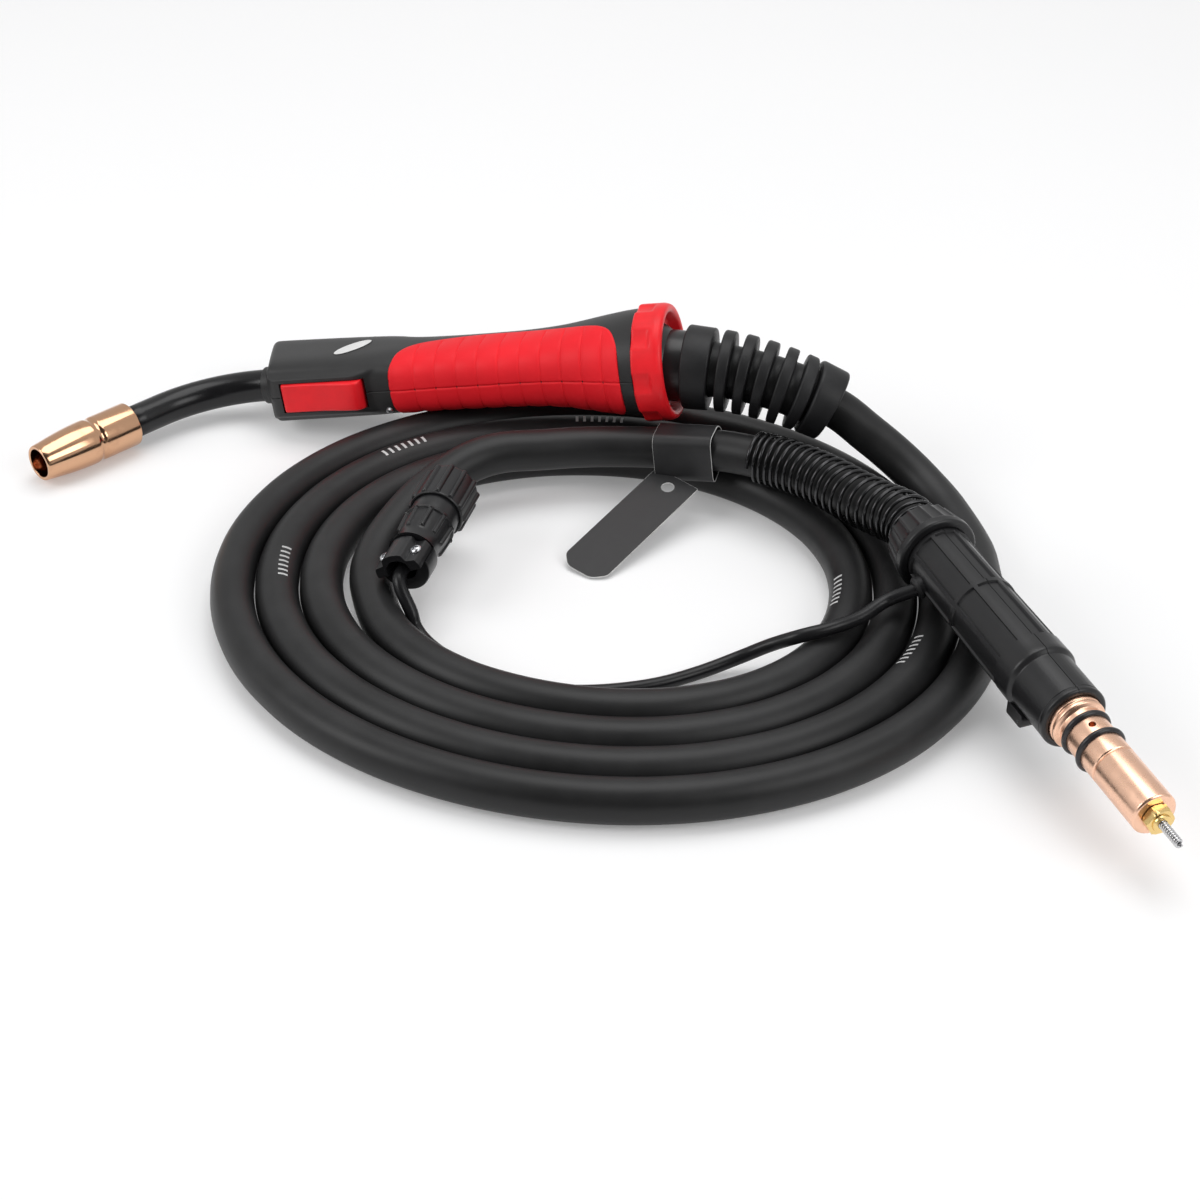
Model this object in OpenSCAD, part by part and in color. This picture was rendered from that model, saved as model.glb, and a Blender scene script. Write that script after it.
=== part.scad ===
// MIG welding torch with a coiled power cable, a plain power plug and a control plug.
// Millimetres. +Z is up, the floor is z = 0, and +X runs from the nozzle towards the cable.

/* [Nozzle and tip] */
// Length of the gas nozzle
nozzle_len = 43.5; // [38:0.5:56]
// Outside diameter of the nozzle's rear collar
nozzle_d = 18; // [17.5:0.1:23]
// Outside diameter of the nozzle's mouth
mouth_d = 14.6; // [13:0.1:17]
// Wall of the nozzle
nozzle_wall = 1.4; // [1:0.1:1.8]
// Diameter of the contact tip
tip_d = 6; // [5:0.1:7]
// Welding wire bore in the contact tip
wire_d = 0.9; // [0.6:0.1:1.6]
// How far the contact tip sits back from the nozzle's mouth
tip_recess = 6.5; // [3:0.5:10]

/* [Gooseneck] */
// Outside diameter of the insulated neck tube
neck_d = 13; // [11:0.1:14]
// Bend of the neck, in degrees
neck_bend = 57; // [40:1:70]
// Radius of the neck's bend
neck_bend_r = 46.5; // [40:0.5:70]
// Straight neck in front of the handle
neck_lead = 5.5; // [5:0.5:20]
// Straight neck between the bend and the nozzle
neck_tip_len = 15.5; // [10:0.5:25]

/* [Handle] */
// Length of the handle from its front face to the ring nut
handle_len = 154; // [140:1:190]
// Width of the handle at the trigger
front_w = 25.8; // [25:0.2:32]
// Width of the handle at the waist of the grip
waist_w = 25.6; // [25:0.2:33]
// Width of the handle at its round rear end
rear_w = 42.4; // [42:0.2:50]
// How far the rubber grip stands proud of the shell
grip_proud = 0.6; // [0.3:0.1:1]
// Thickness of the rubber grip
grip_t = 1.8; // [1.2:0.1:2.4]
// Grooves across the grip
grip_grooves = 10; // [6:1:14]

/* [Trigger] */
// Length of the trigger
trigger_len = 34; // [28:0.5:36]
// Width of the trigger
trigger_w = 12; // [10:0.5:13]
// How far the trigger stands out of its housing
trigger_proud = 2.8; // [2:0.2:5]
// Trigger pin diameter
pivot_d = 2.5; // [2:0.1:3]

/* [Ring nut and knuckle] */
// Outside diameter of the red ring nut
nut_d = 46; // [45.6:0.2:54]
// Length of the ring nut
nut_len = 12.6; // [12:0.2:20]
// Diameter of the swivel ball
ball_d = 35; // [32:0.5:35.5]
// Diameter of the knuckle's neck
knuckle_neck_d = 28; // [24:0.5:28]

/* [Strain relief boot] */
// Outside diameter at the front sleeve
boot_d = 33; // [32:0.2:38]
// Outside diameter at the cable end
boot_end_d = 29; // [26:0.2:31]
// Diameter of the boot's core between its rings
boot_core_d = 21; // [20:0.2:24]
// Number of loose rings
boot_rings = 5; // [3:1:7]

/* [Cable] */
// Diameter of the power cable
cable_d = 16; // [14:0.1:16]
// Step from one turn of the coil to the next
coil_pitch = 16.3; // [16.2:0.05:18]
// Mean radius of the outer turn
coil_r = 131.7; // [131.7:0.1:140]
// Diameter of the control lead
lead_d = 5; // [4:0.1:5.4]

/* [Support spring] */
// Wire of the cable support spring
spring_wire = 1.5; // [1.2:0.1:1.7]
// Number of curls
spring_curls = 23; // [16:1:26]
// Inside diameter of the spring at its free end
spring_id = 17.2; // [17:0.1:18]
// Inside diameter of the spring at the collar nut
spring_id_nut = 18.6; // [18.6:0.1:20]

/* [Power plug] */
// Length of the ribbed plug housing
housing_len = 75; // [65:1:90]
// Diameter of the housing at the collar nut
housing_d = 24.6; // [24:0.1:27]
// Diameter of the housing at its shoulder
shoulder_d = 26.6; // [26:0.1:30]
// Diameter of the plain front cylinder
snout_d = 24; // [22.5:0.1:25.5]
// Length of the plain front cylinder
snout_len = 21; // [17:0.5:26]
// Diameter of the fluted collar nut
collar_d = 30.4; // [30:0.1:34]
// Length of the fluted collar nut
collar_len = 15; // [12:0.5:18]
// Diameter of the power pin
pin_d = 15.9; // [15:0.1:17]
// Length of the pin's plain front cylinder
pin_plain_len = 24; // [20:0.5:30]
// Diameter of the wire liner
liner_d = 3.2; // [2.5:0.1:4]

/* [Control plug] */
// Outside diameter of the coupling ring
ring_d = 22.6; // [21.5:0.1:24]
// Length of the coupling ring
ring_len = 18; // [15:0.5:20]
// Outside diameter of the back shell
shell_d = 19.4; // [18.6:0.1:20]

/* [Hang tag] */
// Length of the tag's panel
tag_len = 60; // [45:1:61]
// Width of the tag's panel
tag_w = 20; // [15:0.5:22]
// Thickness of the tag card
tag_t = 0.6; // [0.4:0.1:1]

/* [Hidden] */

black_plastic = "#1d1d1f";
black_rubber = "#17181a";
torch_red = "#e0212f";
copper = "#d98e63";
brass = "#c9a24b";
steel = "#b9bcc0";
tag_black = "#1c1c1e";

fit = 0.05;        // running fit of a shaft, on the radius
seat = 0.02;       // clearance of pieces that are bonded, pressed or screwed together, on the radius
gap = 0.3;         // air between pieces that move on each other
skin = 0.6;        // rubber and plastic webs left between two pockets
eps = 0.01;

// ---------------------------------------------------------------- where the torch lies
place = [-0.1, -4.1, 0];            // moves everything so that the torch's box stands over the origin
function at(pts) = [for (p = pts) place + p];
lie_front = place + [-41.6, 22.6, 15.8];   // centre of the handle's front face
lie_roll = 6.4;                    // the trigger side faces up by this much
lie_pitch = 10.6;                  // the nose points down by this much
lie_yaw = 11.8;                    // the nose points away from the coil by this much

// ---------------------------------------------------------------- small helpers
function unit(v) = v / norm(v);
function ease(t) = let (c = min(1, max(0, t))) c * c * (3 - 2 * c);
function lerp(a, b, t) = a + (b - a) * t;

// Catmull-Rom spline through pts at u, where u = 0 is the first point and u = 1 the second
function spline_at(pts, u) =
    let (
        n = len(pts), i = min(n - 2, max(0, floor(u))), t = u - i,
        b = pts[i], c = pts[i + 1],
        a = i > 0 ? pts[i - 1] : 2 * b - c,
        d = i < n - 2 ? pts[i + 2] : 2 * c - b
    )
    0.5 * (2 * b + (c - a) * t + (2 * a - 5 * b + 4 * c - d) * t * t + (3 * b - a - 3 * c + d) * t * t * t);
function spline_dir(pts, u) =
    unit(spline_at(pts, min(len(pts) - 1, u + 0.02)) - spline_at(pts, max(0, u - 0.02)));

// One ring of a swept tube: an outline of [side, up] offsets square to the direction d
function sweep_ring(c, d, outline) =
    let (side = unit(cross(d, [0, 0, 1])), up = cross(side, d))
    [for (p = outline) c + p[0] * side + p[1] * up];
function round_outline(r, sides) = [for (k = [0:sides - 1]) r * [cos(360 * k / sides), sin(360 * k / sides)]];

// Closed skin over rings of equal length, all faces triangles
module skin_tube(rings) {
    n = len(rings[0]);
    m = len(rings);
    walls = [
        for (i = [0:m - 2]) for (k = [0:n - 1])
            let (a = i * n + k, b = i * n + (k + 1) % n, c = a + n, d = b + n)
            each [[a, b, d], [a, d, c]]
    ];
    caps = [for (k = [1:n - 2]) each [[0, k + 1, k], [(m - 1) * n, (m - 1) * n + k, (m - 1) * n + k + 1]]];
    polyhedron(points = [for (r = rings) each r], faces = concat(walls, caps), convexity = 8);
}

// The same skin with its last ring joined to its first, for a hollow sleeve
module skin_sleeve(rings) {
    n = len(rings[0]);
    m = len(rings);
    polyhedron(
        points = [for (r = rings) each r],
        faces = [
            for (i = [0:m - 1]) for (k = [0:n - 1])
                let (a = i * n + k, b = i * n + (k + 1) % n, j = (i + 1) % m, c = j * n + k, d = j * n + (k + 1) % n)
                each [[a, b, d], [a, d, c]]
        ],
        convexity = 8
    );
}

// Cylinder and revolved profile that run along +X
module bar_x(d, x0, x1) {
    translate([x0, 0, 0]) rotate([0, 90, 0]) cylinder(d = d, h = x1 - x0, $fn = 64);
}
module cone_x(d0, d1, x0, x1) {
    translate([x0, 0, 0]) rotate([0, 90, 0]) cylinder(d1 = d0, d2 = d1, h = x1 - x0, $fn = 64);
}
module turned_x(profile) {
    rotate([0, 90, 0]) rotate_extrude($fn = 64) polygon(profile);
}

// ---------------------------------------------------------------- frames
// Torch frame: origin at the centre of the handle's front face, +X to the rear, +Z away from the trigger
module lie() {
    translate(lie_front) rotate([-(90 + lie_roll), -lie_pitch, -lie_yaw]) children();
}
bend_end = [-neck_lead - neck_bend_r * sin(neck_bend), 0, -neck_bend_r * (1 - cos(neck_bend))];
// Head frame: +X runs forward out of the nozzle, origin at the end of the neck's bend
module head() {
    lie() translate(bend_end) rotate([0, -neck_bend, 0]) rotate([0, 0, 180]) children();
}

// ---------------------------------------------------------------- nozzle, tip and neck
neck_bore_d = neck_d - 2.2;
nozzle_x = neck_tip_len;                     // rear edge of the nozzle in the head frame
mouth_x = nozzle_x + nozzle_len;
collar_part = 0.38 * nozzle_len;             // plain collar behind the waist
waist_len = 2.4;
waist_drop = 0.35;
nozzle_or = nozzle_d / 2;
body_or = nozzle_or + 0.15;
mouth_or = mouth_d / 2;
nozzle_ir = nozzle_or - nozzle_wall;
mouth_ir = mouth_or - nozzle_wall;
taper_x = nozzle_x + collar_part + waist_len + 1.6;
taper_steps = 6;
sleeve_d = 2 * (nozzle_ir - fit);            // what the nozzle pushes onto
sleeve_x1 = nozzle_x + collar_part - 1;

module gas_nozzle() {
    taper = [
        for (k = [0:taper_steps]) let (t = k / taper_steps)
            [mouth_or + (body_or - mouth_or) * cos(90 * t), taper_x + (mouth_x - 0.3 - taper_x) * t]
    ];
    bore_taper = [
        for (k = [taper_steps:-1:0]) let (t = k / taper_steps)
            [mouth_ir + (nozzle_ir - mouth_ir) * cos(90 * t), taper_x + (mouth_x - taper_x) * t]
    ];
    color(copper) head() turned_x(concat(
        [
            [nozzle_ir, nozzle_x], [nozzle_or - 0.3, nozzle_x], [nozzle_or, nozzle_x + 0.3],
            [nozzle_or, nozzle_x + collar_part - 0.4], [nozzle_or - waist_drop, nozzle_x + collar_part],
            [nozzle_or - waist_drop, nozzle_x + collar_part + waist_len - 0.4],
            [body_or, nozzle_x + collar_part + waist_len]
        ],
        taper,
        [[mouth_or - 0.3, mouth_x]],
        bore_taper
    ));
}

// Brass diffuser screwed on the neck, with its gas holes in front of the insulator
diffuser_d = 10;
diffuser_x1 = sleeve_x1 + 5.5;
module gas_diffuser() {
    color(brass) head() difference() {
        union() {
            bar_x(neck_bore_d, neck_tip_len - 6, nozzle_x + 4);
            bar_x(diffuser_d, nozzle_x + 4 - eps, diffuser_x1);
        }
        bar_x(tip_d - 2, neck_tip_len - 7, diffuser_x1 - 6);
        bar_x(tip_d + 2 * seat, diffuser_x1 - 6, diffuser_x1 + 1);
        for (a = [0:60:300])
            translate([diffuser_x1 - 3, 0, 0]) rotate([a, 0, 0]) cylinder(d = 1.6, h = diffuser_d, $fn = 24);
    }
}
module nozzle_insulator() {
    color("#2a211c") head() difference() {
        bar_x(sleeve_d, nozzle_x + 0.6, sleeve_x1);
        bar_x(diffuser_d + 2 * seat, nozzle_x + 4, sleeve_x1 + 1);
        bar_x(neck_bore_d + 2 * seat, nozzle_x - 1, nozzle_x + 4);
    }
}
tip_x1 = mouth_x - tip_recess;
module contact_tip() {
    color("#c9805c") head() difference() {
        union() {
            bar_x(tip_d, diffuser_x1 - 6, tip_x1 - 2);
            cone_x(tip_d, tip_d - 1.6, tip_x1 - 2, tip_x1);
        }
        bar_x(wire_d, diffuser_x1 - 7, tip_x1 + 1);
    }
}
neck_in = 20;                                // neck held inside the handle
module neck_path(d, front, back) {
    lie() {
        bar_x(d, -neck_lead, back);
        translate([-neck_lead, 0, -neck_bend_r]) rotate([90, 0, 0]) rotate([0, 0, 90])
            rotate_extrude(angle = neck_bend, $fn = 180) translate([neck_bend_r, 0]) circle(d = d, $fn = 48);
    }
    head() bar_x(d, -eps, front);
}
module gooseneck() {
    color("#141416") difference() {
        neck_path(neck_d, nozzle_x - 0.5, neck_in);
        head() bar_x(neck_bore_d + 2 * seat, neck_tip_len - 6, nozzle_x + 1);
    }
}
module neck_collar() {
    color(black_plastic) lie() difference() {
        union() {
            bar_x(neck_d + 2, -neck_lead, 2.4);
            bar_x(neck_d + 3.6, -0.55 * neck_lead, -0.02);
        }
        bar_x(neck_d + 2 * seat, -neck_lead - 1, 4);
    }
}

// ---------------------------------------------------------------- handle
// Stations of the handle: place along it, half width, top and belly heights, squareness
stations = [
    [0,                 front_w / 2 - 0.9, 20.6, 12.2, 5.6],
    [1.4,               front_w / 2 - 0.1, 21.6, 13.3, 5.6],
    [12,                front_w / 2,       21.8, 13.5, 5.2],
    [0.29 * handle_len, front_w / 2 + 0.1, 21.4, 14.4, 3.8],
    [0.37 * handle_len, waist_w / 2 + 0.2, 20.6, 14.9, 2.9],
    [0.46 * handle_len, waist_w / 2,       19.7, 14.3, 2.9],
    [0.58 * handle_len, waist_w / 2 + 0.2, 19.6, 14.2, 2.8],
    [0.69 * handle_len, waist_w / 2 + 0.7, 19.8, 14.0, 2.7],
    [0.79 * handle_len, 0.71 * rear_w / 2, 20.5, 14.8, 2.5],
    [0.90 * handle_len, 0.86 * rear_w / 2, rear_w / 2 + 1.0, rear_w / 2 - 3.3, 2.3],
    [0.96 * handle_len, 0.95 * rear_w / 2, rear_w / 2 + 1.2, rear_w / 2 - 1.2, 2.15],
    [handle_len,        rear_w / 2,        rear_w / 2 + 0.8, rear_w / 2, 2]
];
handle_sides = 28;
function station_ring(s, grow) =
    let (w = s[1] + grow, top = s[2] + grow, belly = s[3] + grow, h = (top + belly) / 2, mid = (top - belly) / 2, e = 2 / s[4])
    [
        for (k = [0:handle_sides - 1]) let (a = 360 * k / handle_sides, c = cos(a), n = sin(a))
            [s[0], -w * sign(c) * pow(abs(c), e), mid + h * sign(n) * pow(abs(n), e)]
    ];
module handle_form(grow = 0) {
    skin_tube([for (u = [0:0.5:len(stations) - 1]) station_ring(spline_at(stations, u), grow)]);
}

// Outline of the rubber grip seen from the side
grip_outline = [
    [52.4, -30], [52.6, -16], [53.8, -10.5], [55.2, -5.4], [58.2, -0.8], [63, 2.8], [71, 5.6],
    [84, 7.9], [97.5, 8.1], [110, 6.6], [120, 4.3], [131, 0.4], [139, -3.4], [144, -7.6],
    [147, -12.4], [148.7, -18], [149, -30]
];
module grip_prism() {
    steps = [for (u = [0:0.34:len(grip_outline) - 1]) spline_at(grip_outline, u)];
    scale_x = handle_len / 154;
    rotate([90, 0, 0]) linear_extrude(height = 2 * nut_d, center = true)
        polygon([for (p = steps) [p[0] * scale_x, p[1]]]);
}
housing_x1 = trigger_len + 12.4;
belly_z = 16.3;                              // face of the trigger housing, below the axis
module trigger_housing_form() {
    edge = trigger_w / 2 + 1.9;
    hull() {
        translate([2.2, 0, 0]) rotate([90, 0, 90]) linear_extrude(height = trigger_len + 4)
            polygon([[-front_w / 2 + 1, -8], [-edge, -belly_z], [edge, -belly_z], [front_w / 2 - 1, -8]]);
        translate([0.8, 0, 0]) rotate([90, 0, 90]) linear_extrude(height = 1)
            polygon([[-front_w / 2 + 1.6, -8], [-edge + 1, -belly_z + 1.6], [edge - 1, -belly_z + 1.6], [front_w / 2 - 1.6, -8]]);
        translate([housing_x1 - 1, 0, 0]) rotate([90, 0, 90]) linear_extrude(height = 1)
            polygon([[-front_w / 2 + 1.4, -8], [-edge - 0.4, -13.6], [edge + 0.4, -13.6], [front_w / 2 - 1.4, -8]]);
    }
}
ball_x = handle_len;                         // centre of the swivel ball on the handle's axis
ball_r = ball_d / 2;
spigot_d = ball_d + 6;
spigot_x1 = ball_x + 4;
adapter_d = cable_d;                         // the cable's end and the adapter share one pocket
adapter_x1 = 48;
channel_d = cable_d + 1;
trigger_x0 = 7.4;
pivot = [trigger_x0 + 2.9, 0, -12.6];
pocket_z = -8.7;                             // ceiling of the trigger's pocket
shell_seam = 0.1;
screw_d = 3;
screw_head_d = 5.4;
// Side screws: place along the handle and height
side_screws = [[26, 15.4], [104, 14.2], [128, 13.6]];
screw_y = 9;                                 // depth of the screw heads' seat from the seam
grub_at = [50.5, 8.4, -12.9];                // small screw on the belly behind the trigger
module grub_frame() {
    translate(grub_at) rotate([37, 0, 0]) mirror([0, 0, 1]) children();
}

module shell_pockets() {
    bar_x(neck_d + 2 * seat, -1, neck_in + 1);
    bar_x(neck_d + 2 + 2 * seat, -1, 2.4);
    bar_x(adapter_d, neck_in - 6, adapter_x1);
    bar_x(channel_d, adapter_x1 - eps, ball_x);
    translate([ball_x, 0, 0]) sphere(r = ball_r + 1.5 * gap, $fn = 48);
    // Trigger pocket
    translate([trigger_x0 - 0.8, -trigger_w / 2 - gap, -40])
        cube([trigger_len + 2, trigger_w + 2 * gap, 40 + pocket_z]);
    translate(pivot) rotate([90, 0, 0]) cylinder(d = pivot_d + 2 * seat, h = trigger_w + 5, center = true, $fn = 32);
    for (s = side_screws) translate([s[0] * handle_len / 154, 0, s[1]]) rotate([-90, 0, 0]) {
        translate([0, 0, -6]) cylinder(d = screw_d, h = 30, $fn = 24);
        translate([0, 0, screw_y]) cylinder(d = screw_head_d + 0.4, h = 30, $fn = 24);
    }
    grub_frame() translate([0, 0, -4]) cylinder(d = screw_d + 0.2, h = 12, $fn = 24);
}
module half_space(side) {
    translate([-50, side > 0 ? shell_seam / 2 : -100 - shell_seam / 2, -60]) cube([300, 100, 120]);
}
module handle_shell(side) {
    color(black_plastic) lie() intersection() {
        difference() {
            union() {
                handle_form(grip_proud - grip_t);
                difference() {
                    handle_form();
                    grip_prism();
                }
                trigger_housing_form();
                bar_x(spigot_d, handle_len - 2, spigot_x1);
            }
            shell_pockets();
        }
        half_space(side);
    }
}
module handle_shell_left() { handle_shell(1); }
module handle_shell_right() { handle_shell(-1); }

groove_w = 1;
groove_depth = 0.7;
module grip(side) {
    pitch = 0.567 * handle_len / grip_grooves;
    color(torch_red) lie() intersection() {
        difference() {
            union() {
                handle_form(grip_proud - groove_depth);
                difference() {
                    handle_form(grip_proud);
                    for (k = [0:grip_grooves - 1])
                        translate([0.41 * handle_len + k * pitch - groove_w / 2, -50, -50]) cube([groove_w, 100, 100]);
                }
            }
            handle_form(grip_proud - grip_t);
            grub_frame() translate([0, 0, -4]) cylinder(d = screw_d + 0.2, h = 12, $fn = 24);
            for (s = side_screws) translate([s[0] * handle_len / 154, 0, s[1]]) rotate([-90, 0, 0])
                translate([0, 0, screw_y]) cylinder(d = screw_head_d + 0.4, h = 30, $fn = 24);
        }
        grip_prism();
        half_space(side);
    }
}
module grip_left() { grip(1); }
module grip_right() { grip(-1); }

module screw(shank, head) {
    difference() {
        union() {
            translate([0, 0, -shank]) cylinder(d = screw_d - 0.1, h = shank, $fn = 24);
            cylinder(d = head, h = 1.8, $fn = 24);
        }
        for (a = [0, 90]) rotate([0, 0, a]) translate([-1.7, -0.35, 0.8]) cube([3.4, 0.7, 2]);
    }
}
module handle_screws() {
    color(steel) lie() {
        for (s = side_screws) translate([s[0] * handle_len / 154, screw_y, s[1]]) rotate([-90, 0, 0])
            screw(13, screw_head_d);
        grub_frame() translate([0, 0, -3.8]) difference() {
            cylinder(d = screw_d, h = 5, $fn = 24);
            translate([0, 0, 4]) cylinder(d = 1.5, h = 2, $fn = 6);
        }
    }
}

// Brass adapter that joins the neck to the power cable inside the handle
module neck_adapter() {
    color(brass) lie() difference() {
        union() {
            bar_x(adapter_d - 0.1, neck_in - 5.8, adapter_x1 - 6);
            bar_x(adapter_d - 3, adapter_x1 - 6 - eps, adapter_x1 - 0.5);
        }
        bar_x(neck_d + 2 * seat, neck_in - 7, neck_in);
        bar_x(liner_d + 0.8, neck_in - 1, adapter_x1);
    }
}
module inner_cable() {
    color(black_rubber) lie() difference() {
        bar_x(cable_d, adapter_x1 - 5, ball_x - ball_r - 2.5);
        bar_x(adapter_d - 3 + 2 * seat, adapter_x1 - 6, adapter_x1 - 0.5);
        bar_x(liner_d + 0.8, adapter_x1 - 2, ball_x);
    }
}

// ---------------------------------------------------------------- trigger and switch
trigger_x1 = trigger_x0 + trigger_len;
trigger_face = belly_z + trigger_proud;      // crown at the rear of the trigger, below the axis
trigger_nose = belly_z + 1.2;
floor_z = 1.8 - trigger_nose;                // inner floor of the trigger's channel
trigger_wall = 1.6;
trigger_top = -pocket_z + 0.6;               // upper edge of the trigger's walls, below the axis
module trigger() {
    color(torch_red) lie() difference() {
        rotate([90, 0, 0]) linear_extrude(height = trigger_w, center = true) polygon(concat(
            [[trigger_x0, -trigger_top - 1], [trigger_x0, -trigger_nose + 1.2], [trigger_x0 + 1, -trigger_nose]],
            [[trigger_x0 + 0.45 * trigger_len, -trigger_nose]],
            [for (a = [-110:22:0]) [trigger_x1 - 3 + 3 * cos(a), -trigger_face + 3 + 3 * sin(a)]],
            [[trigger_x1, -trigger_top - 2.4], [trigger_x1 - 3, -trigger_top - 2.4], [trigger_x0 + 6, -trigger_top]]
        ));
        // Channel that takes the switch and the spring
        translate([trigger_x0 + 7, -trigger_w / 2 + trigger_wall, floor_z])
            cube([trigger_len - 8.6, trigger_w - 2 * trigger_wall, 30]);
        translate(pivot) rotate([90, 0, 0]) cylinder(d = pivot_d + 2 * fit, h = trigger_w + 2, center = true, $fn = 32);
    }
}
module trigger_pin() {
    color(steel) lie() translate(pivot) rotate([90, 0, 0])
        cylinder(d = pivot_d, h = trigger_w + 4.4, center = true, $fn = 32);
}
switch_w = 5.8;
switch_h = 5.2;
plunger_x = trigger_x0 + 14.5;
plunger_d = 2;
switch_z0 = pocket_z - switch_h;
module microswitch() {
    color("#26262a") lie() difference() {
        union() {
            translate([plunger_x - 5, -switch_w / 2, switch_z0]) cube([12.8, switch_w, switch_h]);
            translate([plunger_x - 5, -0.6, pocket_z - eps]) cube([1.2, 1.2, 0.2]);
        }
        translate([plunger_x, 0, switch_z0 - 1]) cylinder(d = plunger_d + 2 * fit, h = 3.6, $fn = 32);
        for (x = [-2.6, 5.2]) translate([plunger_x + x, 0, switch_z0 + 1.6]) rotate([90, 0, 0])
            cylinder(d = 1.6, h = 20, center = true, $fn = 24);
    }
}
module switch_plunger() {
    color("#d9d9d4") lie() translate([plunger_x, 0, floor_z + 0.12])
        cylinder(d = plunger_d, h = switch_z0 + 1 - floor_z, $fn = 32);
}
spring_x = trigger_x1 - 5.2;
module trigger_spring() {
    spring_len = pocket_z - floor_z - fit;
    color(steel) lie() translate([spring_x, 0, pocket_z - spring_len]) difference() {
        cylinder(d = 4.6, h = spring_len, $fn = 32);
        translate([0, 0, -1]) cylinder(d = 3.4, h = spring_len + 2, $fn = 32);
    }
}

// ---------------------------------------------------------------- ring nut and knuckle
nut_x0 = handle_len + gap + 0.1;
nut_x1 = handle_len + nut_len;
nut_or = nut_d / 2;
lip_x0 = spigot_x1 + 0.5;
lip_x1 = lip_x0 + 2.5;
neck_clear_r = knuckle_neck_d / 2 + gap;     // the nut's lip passes over the knuckle's neck
function ball_at(x) = sqrt(max(0, pow(ball_r, 2) - pow(x - ball_x, 2)));
module ring_nut() {
    flutes = 8;
    color(torch_red) lie() difference() {
        turned_x([
            [spigot_d / 2 + gap, nut_x0], [nut_or - 1, nut_x0], [nut_or, nut_x0 + 1], [nut_or, nut_x1 - 2.6],
            [nut_or - 0.9, nut_x1 - 0.8], [nut_or - 2, nut_x1], [nut_or - 4, nut_x1],
            [max(ball_at(lip_x1) + 0.5, neck_clear_r) + 1.1, lip_x1], [max(ball_at(lip_x1) + 0.5, neck_clear_r), lip_x1],
            [max(ball_at(lip_x0) + 0.5, neck_clear_r), lip_x0], [spigot_d / 2 + gap, lip_x0]
        ]);
        for (k = [0:flutes - 1]) rotate([360 * (k + 0.5) / flutes, 0, 0])
            translate([nut_x0 - 1, 0, nut_or + 13.4]) rotate([0, 90, 0]) cylinder(r = 14.4, h = nut_len - 4.6, $fn = 72);
    }
}

// The boot's route starts at the ball and the cable follows it
route_handle_len = 154;                      // handle for which the route's points were chosen
tail_points = at([
    [106.6, -8.3, 44.1], [126, -13.2, 45.1], [145.6, -17.6, 44.3], [164.3, -22.2, 40.6], [181.6, -24.8, 33.5],
    [194, -30, 25.6], [201.5, -34.6, 21.2], [208.7, -40.2, 16.8], [215.6, -48, 12.8], [222.4, -60.4, 9.8]
]);
tail_last = len(tail_points) - 1;
tail_route = [
    for (i = [0:tail_last])
        tail_points[i] + (1 - i / tail_last) * handle_point(handle_len - route_handle_len)
];
knuckle_dir = unit(tail_points[1] - tail_points[0]);
knuckle_yaw = atan2(knuckle_dir[1], knuckle_dir[0]);
knuckle_pitch = asin(knuckle_dir[2]);
ball_centre = lie_front + handle_point(ball_x);
// Point on the handle's axis, from the centre of its front face
function handle_point(x) = x * [cos(lie_pitch) * cos(lie_yaw), -cos(lie_pitch) * sin(lie_yaw), sin(lie_pitch)];
knuckle_len = 26.4;
spigot_len = 4.4;                            // thin end of the knuckle inside the boot
module knuckle_frame() {
    translate(ball_centre) rotate([0, -knuckle_pitch, knuckle_yaw]) children();
}
module swivel_knuckle() {
    color(black_plastic) knuckle_frame() difference() {
        union() {
            sphere(r = ball_r, $fn = 64);
            bar_x(knuckle_neck_d, 0, knuckle_len - spigot_len);
            bar_x(boot_core_d - 3, knuckle_len - spigot_len - eps, knuckle_len);
        }
        translate([-ball_r - 5 - 0.6 * ball_r, -20, -20]) cube([ball_r + 5, 40, 40]);
        cone_x(cable_d + 2, 6, -0.6 * ball_r - eps, 3);
        bar_x(6, 0, knuckle_len + 1);
    }
}

// ---------------------------------------------------------------- boot and cable
cable_r = cable_d / 2;
// The cable inside the boot leaves the knuckle's rear face
tail_start = ball_centre + knuckle_len * knuckle_dir;
boot_points = concat([ball_centre], [for (i = [1:len(tail_route) - 1]) tail_route[i]]);
// Rings of the boot as [start, end, radius] along its centre line, in millimetres from the ball
boot_x0 = 17.3;
sleeve_len = 9.8;
ring_pitch = 7.6;
ring_w = 4.2;
ring_gap = 1.4;                              // slit between the last loose ring and the end ring
boot_ring_x = boot_x0 + sleeve_len + 3.2;
end_ring_x = boot_ring_x + (boot_rings - 1) * ring_pitch + ring_w + ring_gap;
end_ring_len = 11;
boot_len = end_ring_x + end_ring_len;
boot_step = 19.8;                            // spacing of the route's points near the boot
function boot_ring_r(x) = lerp(boot_d, boot_end_d, (x - boot_x0) / (boot_len - boot_x0)) / 2;
function boot_slab(x0, x1, round_r) =
    let (r0 = boot_ring_r(x0), r1 = boot_ring_r(x1))
    [[x0, r0 - round_r], [x0 + 0.25, r0], [x1 - 0.25, r1], [x1, r1 - round_r]];
boot_core_r = boot_core_d / 2;
boot_bore_r = cable_r + 0.45;
boot_sides = 20;
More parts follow.
